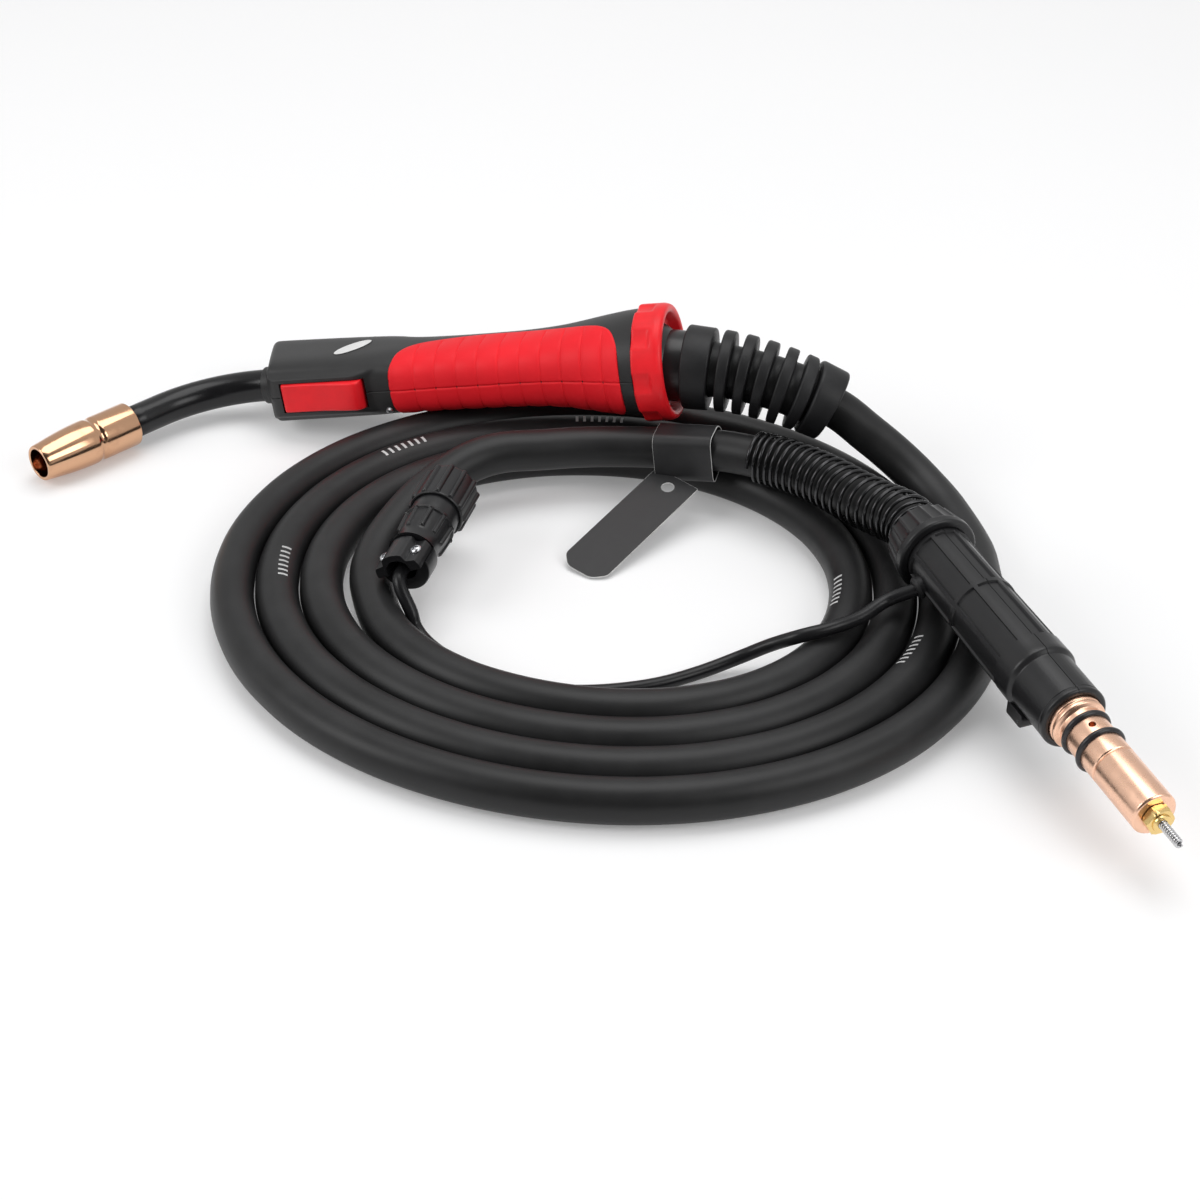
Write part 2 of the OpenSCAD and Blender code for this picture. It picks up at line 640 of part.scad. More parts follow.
// Flats of the boot's bore on the knuckle's neck and on its thin end
neck_grip_r = knuckle_neck_d / 2 / cos(180 / boot_sides) + seat;
end_grip_r = (boot_core_d - 3) / 2 / cos(180 / boot_sides) + gap;
boot_outside = concat(
    boot_slab(boot_x0, boot_x0 + sleeve_len, 0.6),
    [
        for (k = [0:boot_rings - 1]) let (x = boot_ring_x + k * ring_pitch)
            each concat([[x - 0.01, boot_core_r]], boot_slab(x, x + ring_w, 0.5), [[x + ring_w + 0.01, boot_core_r]])
    ],
    [[end_ring_x - 0.01, boot_core_r]],
    boot_slab(end_ring_x, boot_len, 1.2)
);
boot_inside = [
    [boot_len, boot_end_d / 2 - 3.2], [end_ring_x + 4, boot_end_d / 2 - 3.4], [end_ring_x + 3, boot_bore_r],
    [boot_ring_x + 2.5 * ring_pitch, boot_bore_r], [boot_ring_x + ring_pitch, boot_bore_r], [knuckle_len + 0.7, boot_bore_r],
    [knuckle_len + 0.3, end_grip_r], [knuckle_len - spigot_len + 0.5, end_grip_r], [knuckle_len - spigot_len + 0.2, neck_grip_r],
    [boot_x0, neck_grip_r]
];
// The boot's centre line: straight on the knuckle, then along the cable's route
function boot_at(u) = u < 1 ? lerp(boot_points[0], boot_points[1], u) : spline_at(boot_points, u);
function boot_dir(u) = u < 1.1 ? knuckle_dir : spline_dir(boot_points, u);
module strain_relief_boot() {
    color(black_rubber) skin_sleeve([
        for (s = concat(boot_outside, boot_inside)) let (u = s[0] / boot_step)
            sweep_ring(boot_at(u), boot_dir(u), round_outline(s[1], boot_sides))
    ]);
}

// Plan of the coil: radius of the cable's centre line at an angle, after so many degrees of winding
route_coil_r = 131.7;                        // coil for which the routes' points were chosen
coil_grown = coil_r - route_coil_r;
// A larger coil grows away from the handle and the cable's tail
coil_centre = [92.2, -110.9] + [place[0], place[1]] - coil_grown * [cos(60), sin(60)];
coil_from = 5;                               // angle where the winding starts, turning clockwise
coil_turn = 1260;                            // degrees of winding
reverse_at = 90;                             // each turn steps in between this angle
step_in = 110;                               // and this many degrees further on
coil_z = cable_r;
function coil_base(a) =
    coil_r + 5.5 * cos(2 * a) - 3.4 * sin(2 * a) - 2.2 * pow(max(0, sin(a)), 3);
function coil_radius(a) =
    let (turns = floor((reverse_at - a) / 360), part = (reverse_at - a - 360 * turns) / step_in)
    coil_base(a) - coil_pitch * (turns - 1 + ease(part)) - 2.4 * pow(max(0, (coil_end + 50 - a) / 50), 2);
function coil_point(a) = [coil_centre[0] + coil_radius(a) * cos(a), coil_centre[1] + coil_radius(a) * sin(a), coil_z];
function coil_dir(a) = unit(coil_point(a - 0.5) - coil_point(a + 0.5));
rings_per_loop = 24;
coil_end = coil_from - coil_turn;
coil_steps = round(coil_turn * rings_per_loop / 360);
coil_angles = [for (k = [0:coil_steps]) coil_from - coil_turn * k / coil_steps];
coil_in = coil_point(coil_from) - cable_d * coil_dir(coil_from);
coil_out = coil_point(coil_end) + cable_d * coil_dir(coil_end);
// Six-sided section inside the round cable, flat where it lies on the floor
flat_w = 0.53 * cable_r;
flat_drop = sqrt(pow(cable_r, 2) - pow(flat_w, 2));
side_w = 0.97 * cable_r;
cord_outline = [
    [side_w, 0], [flat_w, flat_drop], [-flat_w, flat_drop], [-side_w, 0],
    [-flat_w, -cable_r], [flat_w, -cable_r]
];
coil_rings = concat(
    [sweep_ring(coil_in, coil_dir(coil_from), cord_outline)],
    [for (a = coil_angles) sweep_ring(coil_point(a), coil_dir(a), cord_outline)],
    [sweep_ring(coil_out, coil_dir(coil_end), cord_outline)]
);
module cable_coil() { color(black_rubber) skin_tube(coil_rings); }

// Least gap between rings that lie at least half a turn apart, measured on their points
function least_gap(rings, apart) = min([
    for (i = [0:len(rings) - 1 - apart]) for (j = [i + apart:len(rings) - 1])
        if (norm(rings[i][0] - rings[j][0]) < 4 * cable_d) min([for (p = rings[i]) for (q = rings[j]) norm(p - q)])
]);

tube_sides = 8;
tail_path = concat(boot_points, [coil_in - 4 * coil_dir(coil_from), coil_in]);
function tube_rings(pts, r, sides, step, d0, d1) = [
    for (u = [0:step:len(pts) - 1 + eps]) let (v = min(u, len(pts) - 1))
        sweep_ring(
            spline_at(pts, v),
            v == 0 ? d0 : v == len(pts) - 1 ? d1 : spline_dir(pts, v),
            round_outline(r, sides)
        )
];
module cable_tail() {
    color(black_rubber) skin_tube(concat(
        [sweep_ring(tail_start, knuckle_dir, round_outline(cable_r, tube_sides))],
        [
            for (u = [1.75:0.75:len(tail_path) - 2.2])
                sweep_ring(spline_at(tail_path, u), spline_dir(tail_path, u), round_outline(cable_r, tube_sides))
        ],
        [sweep_ring(coil_in, coil_dir(coil_from), round_outline(cable_r, tube_sides))]
    ));
}

// From the inner turn up over the coil to the power plug
end_route = at([
    [8, -88, 9.4], [13.8, -74, 11.6], [21.4, -60.8, 14.2], [30.6, -50.4, 17], [40.8, -42.8, 19.6], [52, -38.4, 20.8],
    [66.3, -36, 20.6],
    [81.8, -33.8, 20.6], [97.4, -33.8, 21], [113.3, -35.7, 21.8], [128, -39.5, 23.4], [138.4, -43.6, 25], [148.6, -48.9, 26],
    [158.6, -54.2, 26.5], [167.6, -61.4, 27], [176.4, -70.4, 27.6], [184.8, -81.6, 28.5], [194.2, -93.7, 30.4], [201.5, -104.2, 32.4]
]);
plug_face = place + [210.8, -126.2, 31.6];             // front rim of the collar nut on the plug's axis
plug_yaw = -68.4;
plug_pitch = 2.75;                           // the pin points down by this much
plug_dir = [cos(plug_pitch) * cos(plug_yaw), cos(plug_pitch) * sin(plug_yaw), -sin(plug_pitch)];
cable_in = plug_face - (collar_len - 6) * plug_dir;   // end of the cable, inside the collar nut
end_path = concat(
    [coil_out], end_route, [cable_in]
);
module cable_end() {
    color(black_rubber) skin_tube(tube_rings(end_path, cable_r, tube_sides, 1, coil_dir(coil_end), plug_dir));
}

// Cable support spring, wound round the last part of the route
spring_from = 13.1;                          // where it starts and ends along the route's points
spring_to = len(end_path) - 1.38;
curl_rings = 8;
curl_count = spring_curls * curl_rings;
end_part = 0.1;                              // share of the curls at each end that lie close together
end_share = 0.075;                           // and the share of the length that they take
function spring_u(t) = lerp(spring_from, spring_to,
    t < end_part ? t * end_share / end_part
    : t > 1 - end_part ? 1 - (1 - t) * end_share / end_part
    : lerp(end_share, 1 - end_share, (t - end_part) / (1 - 2 * end_part)));
function spring_point(k) =
    let (
        t = k / curl_count, u = spring_u(t), d = spline_dir(end_path, u),
        r = (lerp(spring_id, spring_id_nut, t) + spring_wire) / 2, side = unit(cross(d, [0, 0, 1])), up = cross(side, d)
    )
    spline_at(end_path, u) + r * (cos(360 * k / curl_rings) * side + sin(360 * k / curl_rings) * up);
spring_points = [for (k = [0:curl_count]) spring_point(k)];
spring_rings = [
    for (k = [0:curl_count])
        sweep_ring(
            spring_points[k],
            unit(spring_points[min(curl_count, k + 1)] - spring_points[max(0, k - 1)]),
            round_outline(spring_wire / 2, 6)
        )
];
module cable_support_spring() { color("#0d0d0e") skin_tube(spring_rings); }

// ---------------------------------------------------------------- power plug
// Plug frame: origin at the collar nut's front rim, +X out along the pin
module plug_frame() {
    translate(plug_face) rotate([0, plug_pitch, plug_yaw]) children();
}
collar_ir = spring_id_nut / 2 + spring_wire + 0.6;
collar_flutes = 20;
collar_rim = 3;                              // smooth rim in front of the flutes
collar_tail_r = collar_ir + 1.6;
flute_d = 2.2;
housing_tail_d = 2 * collar_ir + 1.2;
collar_slope = atan2(collar_d / 2 - collar_tail_r, collar_len - collar_rim);
module collar_nut() {
    color(black_plastic) plug_frame() difference() {
        turned_x([
            [housing_tail_d / 2 + gap, 0], [collar_d / 2 - 0.5, 0], [collar_d / 2, -0.6], [collar_d / 2, -collar_rim],
            [collar_tail_r, -collar_len], [collar_ir, -collar_len], [collar_ir, -6.3], [housing_tail_d / 2 + gap, -6.3]
        ]);
        for (k = [0:collar_flutes - 1]) rotate([360 * k / collar_flutes, 0, 0])
            translate([-collar_rim, 0, collar_d / 2 + 0.15 * flute_d]) rotate([0, -90 - collar_slope, 0])
                cylinder(d = flute_d, h = 2 * collar_len, $fn = 16);
    }
}
shoulder_x = housing_len;
snout_x1 = housing_len + 1.2 + snout_len;
panel_ribs = 8;
mid_ring_x = 0.43 * housing_len;
rib_out = 0.8;
function housing_r(x) = lerp(housing_d, shoulder_d, x / housing_len) / 2;
module housing_outside() {
    // Recessed panels, then the ribs and rings round them
    turned_x([
        [0, -6], [housing_tail_d / 2, -6], [housing_tail_d / 2, gap], [housing_r(0) - rib_out, gap + 0.4],
        [housing_r(shoulder_x) - rib_out, shoulder_x - 3], [housing_r(shoulder_x), shoulder_x - 2.6],
        [housing_r(shoulder_x), shoulder_x], [snout_d / 2 + 0.3, shoulder_x + 1.2], [snout_d / 2, shoulder_x + 1.6],
        [snout_d / 2, snout_x1 - 0.8], [snout_d / 2 - 0.8, snout_x1], [0, snout_x1]
    ]);
    for (x = [gap, mid_ring_x, shoulder_x - 9])
        turned_x([
            [0, x], [housing_r(x), x], [housing_r(x + 1.8), x + 1.8], [0, x + 1.8]
        ]);
    for (k = [0:panel_ribs - 1]) rotate([360 * (k + 0.5) / panel_ribs, 0, 0]) intersection() {
        translate([gap + 0.5, -0.8, 0]) cube([shoulder_x - 3, 1.6, shoulder_d]);
        cone_x(housing_d, shoulder_d, 0, shoulder_x);
    }
    turned_x([[0, shoulder_x - 8], [housing_r(shoulder_x - 8), shoulder_x - 8], [housing_r(shoulder_x), shoulder_x - 2], [0, shoulder_x - 2]]);
}
pin_flange_d = 19.4;
pin_body_x = 40;                             // rear end of the pin's body inside the housing
plug_screw_x = shoulder_x + 6;
plug_screw_z = -pin_flange_d / 2 - 0.3;
module screw_lug(side) {
    hull() {
        translate([shoulder_x - 1, side * 8.4 - 3, -12]) cube([2, 6, 6]);
        translate([plug_screw_x + 2.6, side * 8.4 - 3, -12.2]) cube([2, 6, 5.4]);
    }
}
module plug_hollow() {
    bar_x(cable_d, -7, pin_body_x);
    bar_x(pin_flange_d - 3.2 + 2 * seat, pin_body_x - eps, snout_x1 - 4);
    bar_x(pin_flange_d + 2 * seat, snout_x1 - 4.02, snout_x1 + 1);
    // Screws through both halves, below the pin
    translate([plug_screw_x, 0, plug_screw_z]) rotate([90, 0, 0]) {
        cylinder(d = 2.6, h = 40, center = true, $fn = 24);
        for (s = [-1, 1]) translate([0, 0, s * 17]) cylinder(d = 4.8, h = 16, center = true, $fn = 24);
    }
    rotate([lead_roll, 0, 0]) translate([lead_x, 0, 0]) cylinder(d = lead_d + 3, h = 30, $fn = 32);
}
lead_x = 9;                                  // where the control lead leaves the housing
lead_roll = 112;
module plug_half(side) {
    color(black_plastic) plug_frame() intersection() {
        difference() {
            union() {
                housing_outside();
                for (s = [-1, 1]) screw_lug(s);
            }
            plug_hollow();
        }
        translate([-20, side > 0 ? shell_seam / 2 : -50 - shell_seam / 2, -30]) cube([200, 50, 60]);
    }
}
module plug_housing_left() { plug_half(1); }
module plug_housing_right() { plug_half(-1); }
module plug_screws() {
    color(steel) plug_frame() translate([plug_screw_x, 0, plug_screw_z]) {
        rotate([90, 0, 0]) cylinder(d = 2.5, h = 19, center = true, $fn = 24);
        for (s = [0, 180]) rotate([90, 0, s]) translate([0, 0, 9 + seat]) difference() {
            cylinder(d = 4.6, h = 1.7, $fn = 24);
            translate([-2.5, -0.35, 1]) cube([5, 0.7, 2]);
        }
    }
}
oring_w = 2.2;
oring_x1 = snout_x1 + 7.4;
oring_x2 = oring_x1 + 9.2;
land_x1 = oring_x2 + 9.6;
pin_x1 = land_x1 + pin_plain_len;
pin_r = pin_d / 2;
module power_pin() {
    groove = oring_w / 2 + 0.1;
    color(copper) plug_frame() difference() {
        turned_x([
            [0, pin_body_x + 0.3], [pin_flange_d / 2 - 1.6, pin_body_x + 0.3], [pin_flange_d / 2 - 1.6, snout_x1 - 4],
            [pin_flange_d / 2, snout_x1 - 4], [pin_flange_d / 2, snout_x1 + 3.4], [pin_flange_d / 2 - 0.4, snout_x1 + 3.8],
            [pin_r, snout_x1 + 3.8], [pin_r, oring_x1 - groove], [pin_r - 1.1, oring_x1 - groove],
            [pin_r - 1.1, oring_x1 + groove], [pin_r, oring_x1 + groove], [pin_r, oring_x2 - groove],
            [pin_r - 1.1, oring_x2 - groove], [pin_r - 1.1, oring_x2 + groove], [pin_r, oring_x2 + groove],
            [pin_r, land_x1 - 1.2], [pin_r - 0.4, land_x1 - 1], [pin_r - 0.4, land_x1 - 0.2], [pin_r, land_x1],
            [pin_r, pin_x1 - 0.5], [pin_r - 0.5, pin_x1], [0, pin_x1]
        ]);
        bar_x(liner_d + 2 * seat, pin_body_x - 1, pin_x1 + 1);
        bar_x(6, pin_x1 - 6, pin_x1 + 1);
        translate([(oring_x1 + oring_x2) / 2, 0, 0]) rotate([12, 0, 0]) cylinder(d = 1.8, h = pin_d, $fn = 24);
    }
}
module pin_o_rings() {
    color("#202022") plug_frame() for (x = [oring_x1, oring_x2]) translate([x, 0, 0]) rotate([0, 90, 0])
        rotate_extrude($fn = 64) translate([pin_r - 1.1 + oring_w / 2, 0]) circle(d = oring_w, $fn = 24);
}
hex_d = 10.4;
module liner_nut() {
    color(brass) plug_frame() difference() {
        union() {
            bar_x(5.9, pin_x1 - 5.6, pin_x1 + 1);
            translate([pin_x1 + gap, 0, 0]) rotate([0, 90, 0]) cylinder(d = hex_d, h = 3.6, $fn = 6);
            bar_x(7, pin_x1 + 3.6, pin_x1 + 4.8);
        }
        bar_x(liner_d + 0.1, pin_x1 - 7, pin_x1 + 6);
    }
}
liner_x1 = pin_x1 + 15;
module wire_liner() {
    color(steel) plug_frame() difference() {
        bar_x(liner_d, pin_body_x + 4, liner_x1);
        bar_x(1.4, pin_body_x + 3, liner_x1 + 1);
    }
}

// ---------------------------------------------------------------- control lead and control plug
grommet_len = 14.4;
module lead_frame() {
    plug_frame() rotate([lead_roll, 0, 0]) translate([lead_x, 0, 0]) children();
}
module lead_grommet() {
    color(black_rubber) lead_frame() difference() {
        translate([0, 0, cable_r + 1.2]) cylinder(d = lead_d + 2.9, h = grommet_len - cable_r - 1.2, $fn = 32);
        translate([0, 0, grommet_len - 1.4]) cylinder(d = lead_d, h = 3, $fn = 32);
    }
}
// Direction in which the lead leaves the housing, and the seat of its end
function turn_x(v, a) = [v[0], v[1] * cos(a) - v[2] * sin(a), v[1] * sin(a) + v[2] * cos(a)];
function turn_y(v, a) = [v[0] * cos(a) + v[2] * sin(a), v[1], -v[0] * sin(a) + v[2] * cos(a)];
function turn_z(v, a) = [v[0] * cos(a) - v[1] * sin(a), v[0] * sin(a) + v[1] * cos(a), v[2]];
function from_plug(v) = turn_z(turn_y(v, plug_pitch), plug_yaw);
lead_dir = from_plug(turn_x([0, 0, 1], lead_roll));
lead_start = plug_face + from_plug(turn_x([lead_x, 0, grommet_len - 1.4], lead_roll));
lead_route = at([
    [191.5, -140.2, 21.6], [182, -147.4, 19.4], [171.5, -153.8, 19.2], [160.6, -156.2, 17.4], [150.3, -153.4, 11.4], [139.6, -153.4, 6],
    [126, -158.4, 3.2], [111.5, -164.8, 2.6], [97.2, -168.6, 2.6], [83.2, -170, 2.6], [69, -168.8, 2.6], [54.4, -165, 2.6],
    [42.6, -156.4, 2.6], [33.4, -147.4, 2.6], [27.2, -140, 3.2], [23.6, -135.6, 6], [22, -132.8, 10.6]
]);
control_foot = place + [18, -124.3, 20.8];   // centre of the clamp's open end
control_roll = -26;
control_yaw = 73.4;
control_pitch = 4;                           // the coupling ring is raised by this much
control_dir = [cos(control_pitch) * cos(control_yaw), cos(control_pitch) * sin(control_yaw), sin(control_pitch)];
module control_frame() {
    translate(control_foot) rotate([0, -control_pitch, control_yaw]) rotate([control_roll, 0, 0]) children();
}
clamp_len = 13;
lead_seat = 9;                               // how far the lead reaches into the clamp
lead_end = control_foot + lead_seat * control_dir;
lead_path = concat(
    [lead_start, lead_start + 1.2 * lead_dir], lead_route, [control_foot - 1.5 * control_dir - [0, 0, 1.6], lead_end]
);
module control_lead() {
    color(black_rubber) skin_tube(tube_rings(lead_path, lead_d / 2, tube_sides, 0.5, lead_dir, control_dir));
}

backshell_x0 = 4;
backshell_x1 = 30.8;
ring_x0 = 37.9;
barrel_x1 = ring_x0 + 2.4;
ring_x1 = ring_x0 + ring_len;
shell_r = shell_d / 2;
barrel_r = shell_r - 0.5;
socket_r = 8.2;                              // open socket behind the coupling ring's mouth
module control_backshell() {
    color(black_plastic) control_frame() difference() {
        union() {
            turned_x([
                [0, backshell_x0], [shell_r, backshell_x0], [shell_r, clamp_len + 0.4], [shell_r - 1.6, clamp_len + 0.5],
                [shell_r - 0.5, backshell_x1 - 8], [shell_r, backshell_x1 - 6], [shell_r, backshell_x1], [0, backshell_x1]
            ]);
            for (k = [0:9]) rotate([36 * k, 0, 0]) translate([backshell_x1 - 11, -0.7, 0])
                cube([10.8, 1.4, shell_r + 0.15]);
        }
        bar_x(lead_d + 4.6, backshell_x0 - 1, backshell_x0 + 13);
        // Flat seat for the clamp saddle
        translate([backshell_x0 - 1, -20, 0.4]) cube([clamp_len - backshell_x0 + 1.2, 40, 20]);
    }
}
module clamp_saddle() {
    color(black_plastic) control_frame() difference() {
        union() {
            intersection() {
                translate([0, -shell_r, 0.5]) cube([clamp_len, 2 * shell_r, 20]);
                turned_x([[0, 0], [shell_r - 0.4, 0], [shell_r - 0.4, clamp_len - 0.6], [0, clamp_len - 0.6]]);
            }
        }
        translate([-1, -(lead_d + 4.6) / 2, -1]) cube([clamp_len + 3, lead_d + 4.6, 1.5 + 2.4]);
        bar_x(lead_d + 4.6, -1, clamp_len + 2);
        for (s = [-1, 1]) translate([clamp_len / 2, s * 6.6, -5]) cylinder(d = 2.6, h = 30, $fn = 24);
        for (s = [-1, 1]) translate([clamp_len / 2, s * 6.6, 4.6]) cylinder(d = 4.8, h = 30, $fn = 24);
    }
}
module clamp_screws() {
    color(steel) control_frame() for (s = [-1, 1]) translate([clamp_len / 2, s * 6.6, 4.65]) difference() {
        union() {
            cylinder(d = 4.5, h = 2, $fn = 24);
            translate([0, 0, -4]) cylinder(d = 2.5, h = 4.1, $fn = 24);
        }
        for (a = [0, 90]) rotate([0, 0, a]) translate([-1.6, -0.3, 1.2]) cube([3.2, 0.6, 2]);
    }
}
module control_barrel() {
    color(black_plastic) control_frame() difference() {
        turned_x([
            [0, backshell_x1], [barrel_r, backshell_x1], [barrel_r, barrel_x1], [barrel_r - 0.8, barrel_x1 + 1],
            [barrel_r - 0.8, ring_x1 - 3], [0, ring_x1 - 3]
        ]);
        bar_x(2 * socket_r - 0.6, barrel_x1 + 2, ring_x1);
    }
}
module coupling_ring() {
    lugs = 12;
    color(black_plastic) control_frame() difference() {
        union() {
            turned_x([
                [barrel_r + gap, ring_x0], [ring_d / 2 - 1.2, ring_x0], [ring_d / 2 - 0.9, ring_x0 + 0.6],
                [ring_d / 2 - 0.9, ring_x1 - 0.8], [ring_d / 2 - 1.6, ring_x1], [barrel_r + gap, ring_x1]
            ]);
            for (k = [0:lugs - 1]) rotate([360 * k / lugs, 0, 0]) translate([ring_x0 + 1, -0.9, barrel_r + 0.6])
                cube([ring_len - 2, 1.8, ring_d / 2 - barrel_r - 0.6]);
        }
    }
}
module control_insert() {
    color("#303034") control_frame() difference() {
        bar_x(2 * socket_r - 0.7, barrel_x1 + 2, barrel_x1 + 6);
        for (k = [0:3]) rotate([45 + 90 * k, 0, 0]) translate([0, 0, 3.6]) bar_x(2, barrel_x1 + 1, barrel_x1 + 7);
    }
}
module control_pins() {
    color(steel) control_frame() for (k = [0:3]) rotate([45 + 90 * k, 0, 0]) translate([0, 0, 3.6])
        bar_x(1.96, barrel_x1 + 2.2, ring_x1 - 4.4);
}

// ---------------------------------------------------------------- hang tag
tag_u = 10.55;                                // where the tag's collar wraps the cable
tag_at = spline_at(end_path, tag_u);
tag_cable_dir = spline_dir(end_path, tag_u);
tag_collar_w = 19;
tag_clear = 0.35;
tag_top = place + [119.6, -47.4, 14.6];              // middle of the panel's upper edge
tag_yaw = -130;
tag_dip = 13.2;
tag_roll = -6;
module hang_tag() {
    cable_yaw = atan2(tag_cable_dir[1], tag_cable_dir[0]);
    color(tag_black) {
        translate(tag_at) rotate([0, -asin(tag_cable_dir[2]), cable_yaw]) difference() {
            union() {
                bar_x(cable_d + 2 * tag_clear + 2 * tag_t, -tag_collar_w / 2, tag_collar_w / 2);
                translate([-tag_collar_w / 2, -cable_r - tag_clear - tag_t, -cable_r - 1])
                    cube([tag_collar_w, tag_t, cable_r + 1]);
            }
            bar_x(cable_d + 2 * tag_clear, -tag_collar_w, tag_collar_w);
        }
        translate(tag_top) rotate([tag_roll, tag_dip, tag_yaw]) linear_extrude(height = tag_t) difference() {
            union() {
                translate([0, -tag_w / 2]) square([tag_len - 3, tag_w]);
                for (s = [-1, 1]) translate([tag_len - 3, s * (tag_w / 2 - 3)]) circle(r = 3, $fn = 32);
                translate([tag_len - 4, -tag_w / 2 + 3]) square([4, tag_w - 6]);
            }
            translate([6, 0]) circle(r = 2.6, $fn = 32);
        }
    }
}

union() {
    echo(least_gap_of_coil = least_gap(coil_rings, 14));
    echo(least_gap_of_spring = min([
        for (i = [0:curl_count - 6]) for (j = [i + 6:min(curl_count, i + 12)])
            norm(spring_points[i] - spring_points[j]) - spring_wire
    ]));
}

gas_nozzle();
contact_tip();
gas_diffuser();
nozzle_insulator();
gooseneck();
neck_collar();
handle_shell_left();
handle_shell_right();
grip_left();
grip_right();
handle_screws();
neck_adapter();
inner_cable();
trigger();
trigger_pin();
trigger_spring();
microswitch();
switch_plunger();
ring_nut();
swivel_knuckle();
strain_relief_boot();
cable_tail();
cable_coil();
cable_end();
cable_support_spring();
collar_nut();
plug_housing_left();
plug_housing_right();
plug_screws();
power_pin();
pin_o_rings();
liner_nut();
wire_liner();
lead_grommet();
control_lead();
clamp_saddle();
clamp_screws();
control_backshell();
control_barrel();
coupling_ring();
control_insert();
control_pins();
hang_tag();
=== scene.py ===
"""A gas cooled MIG welding torch lying beside its own coil of cable.

Sizes are in metres, or in millimetres where a name ends in _mm or a class or function says so.
+Z is up, the floor is z = 0, and +X runs from the nozzle to the cable.
"""

import logging
import math
from dataclasses import dataclass, field
from enum import Enum
from typing import Callable, Dict, Iterable, List, Optional, Sequence, Tuple, Union

import bmesh
import bpy
import numpy as np
from mathutils import Matrix, Vector


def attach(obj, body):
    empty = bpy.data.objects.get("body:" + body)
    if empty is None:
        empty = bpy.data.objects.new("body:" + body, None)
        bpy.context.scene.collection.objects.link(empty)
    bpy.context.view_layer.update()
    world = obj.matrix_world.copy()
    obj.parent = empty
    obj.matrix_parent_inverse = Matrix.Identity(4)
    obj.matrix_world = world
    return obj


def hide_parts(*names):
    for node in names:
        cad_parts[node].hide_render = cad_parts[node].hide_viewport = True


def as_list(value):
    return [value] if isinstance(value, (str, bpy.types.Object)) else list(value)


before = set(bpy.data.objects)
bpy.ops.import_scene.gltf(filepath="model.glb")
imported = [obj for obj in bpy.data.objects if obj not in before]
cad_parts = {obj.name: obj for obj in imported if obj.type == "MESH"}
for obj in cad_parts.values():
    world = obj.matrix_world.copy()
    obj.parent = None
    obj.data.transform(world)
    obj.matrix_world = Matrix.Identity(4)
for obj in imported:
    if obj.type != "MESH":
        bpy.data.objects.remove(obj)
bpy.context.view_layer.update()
log = logging.getLogger("torch")

Colour = Tuple[float, float, float]
Triple = Tuple[float, float, float]
Number = Union[float, "Wire"]
Key = Union[int, str]
Line = List[Tuple[float, float]]
Piece = bpy.types.Object


class Body(Enum):
    """Bodies of the record that carry pieces."""

    ROOT = "root"
    HANDLE = "handle"
    TRIGGER = "trigger"
    NOZZLE = "nozzle"
    RING_NUT = "ring_nut"
    COLLAR = "collar"
    COUPLING = "coupling"
    LINER_NUT = "liner_nut"


class Half(Enum):
    """The two moulded halves of the handle: one faces the floor and one lies open to view."""

    FLOOR = 1
    OPEN = -1


# ---------------- shader workbench
class Wire:
    """One output of a shader node that takes part in plain arithmetic on values."""

    def __init__(self, bench: "Bench", socket: bpy.types.NodeSocket) -> None:
        """Wraps a socket.

        Args:
            bench: the workbench whose tree holds the socket.
            socket: the output that later nodes read.
        """
        self.bench = bench
        self.socket = socket

    def _maths(self, operation: str, first: Number, second: Number) -> "Wire":
        """Adds one Math node.

        Args:
            operation: the Math node's operation.
            first: its first value or link.
            second: its second value or link.

        Returns:
            The node's value.
        """
        return self.bench.put("ShaderNodeMath", {"operation": operation}, {0: first, 1: second})

    def __add__(self, other: Number) -> "Wire":
        """Sum."""
        return self._maths("ADD", self, other)

    def __radd__(self, other: Number) -> "Wire":
        """Sum with a number in front."""
        return self._maths("ADD", other, self)

    def __sub__(self, other: Number) -> "Wire":
        """Difference."""
        return self._maths("SUBTRACT", self, other)

    def __rsub__(self, other: Number) -> "Wire":
        """Difference with a number in front."""
        return self._maths("SUBTRACT", other, self)

    def __mul__(self, other: Number) -> "Wire":
        """Product."""
        return self._maths("MULTIPLY", self, other)

    def __rmul__(self, other: Number) -> "Wire":
        """Product with a number in front."""
        return self._maths("MULTIPLY", other, self)

    def most(self, other: Number) -> "Wire":
        """Larger of the two."""
        return self._maths("MAXIMUM", self, other)

    def between(self, low: float, high: float) -> "Wire":
        """Smooth step from 0 at low to 1 at high."""
        return self.bench.put(
            "ShaderNodeMapRange", {"interpolation_type": "SMOOTHSTEP", "clamp": True},
            {"Value": self, "From Min": low, "From Max": high, "To Min": 0.0, "To Max": 1.0},
        )


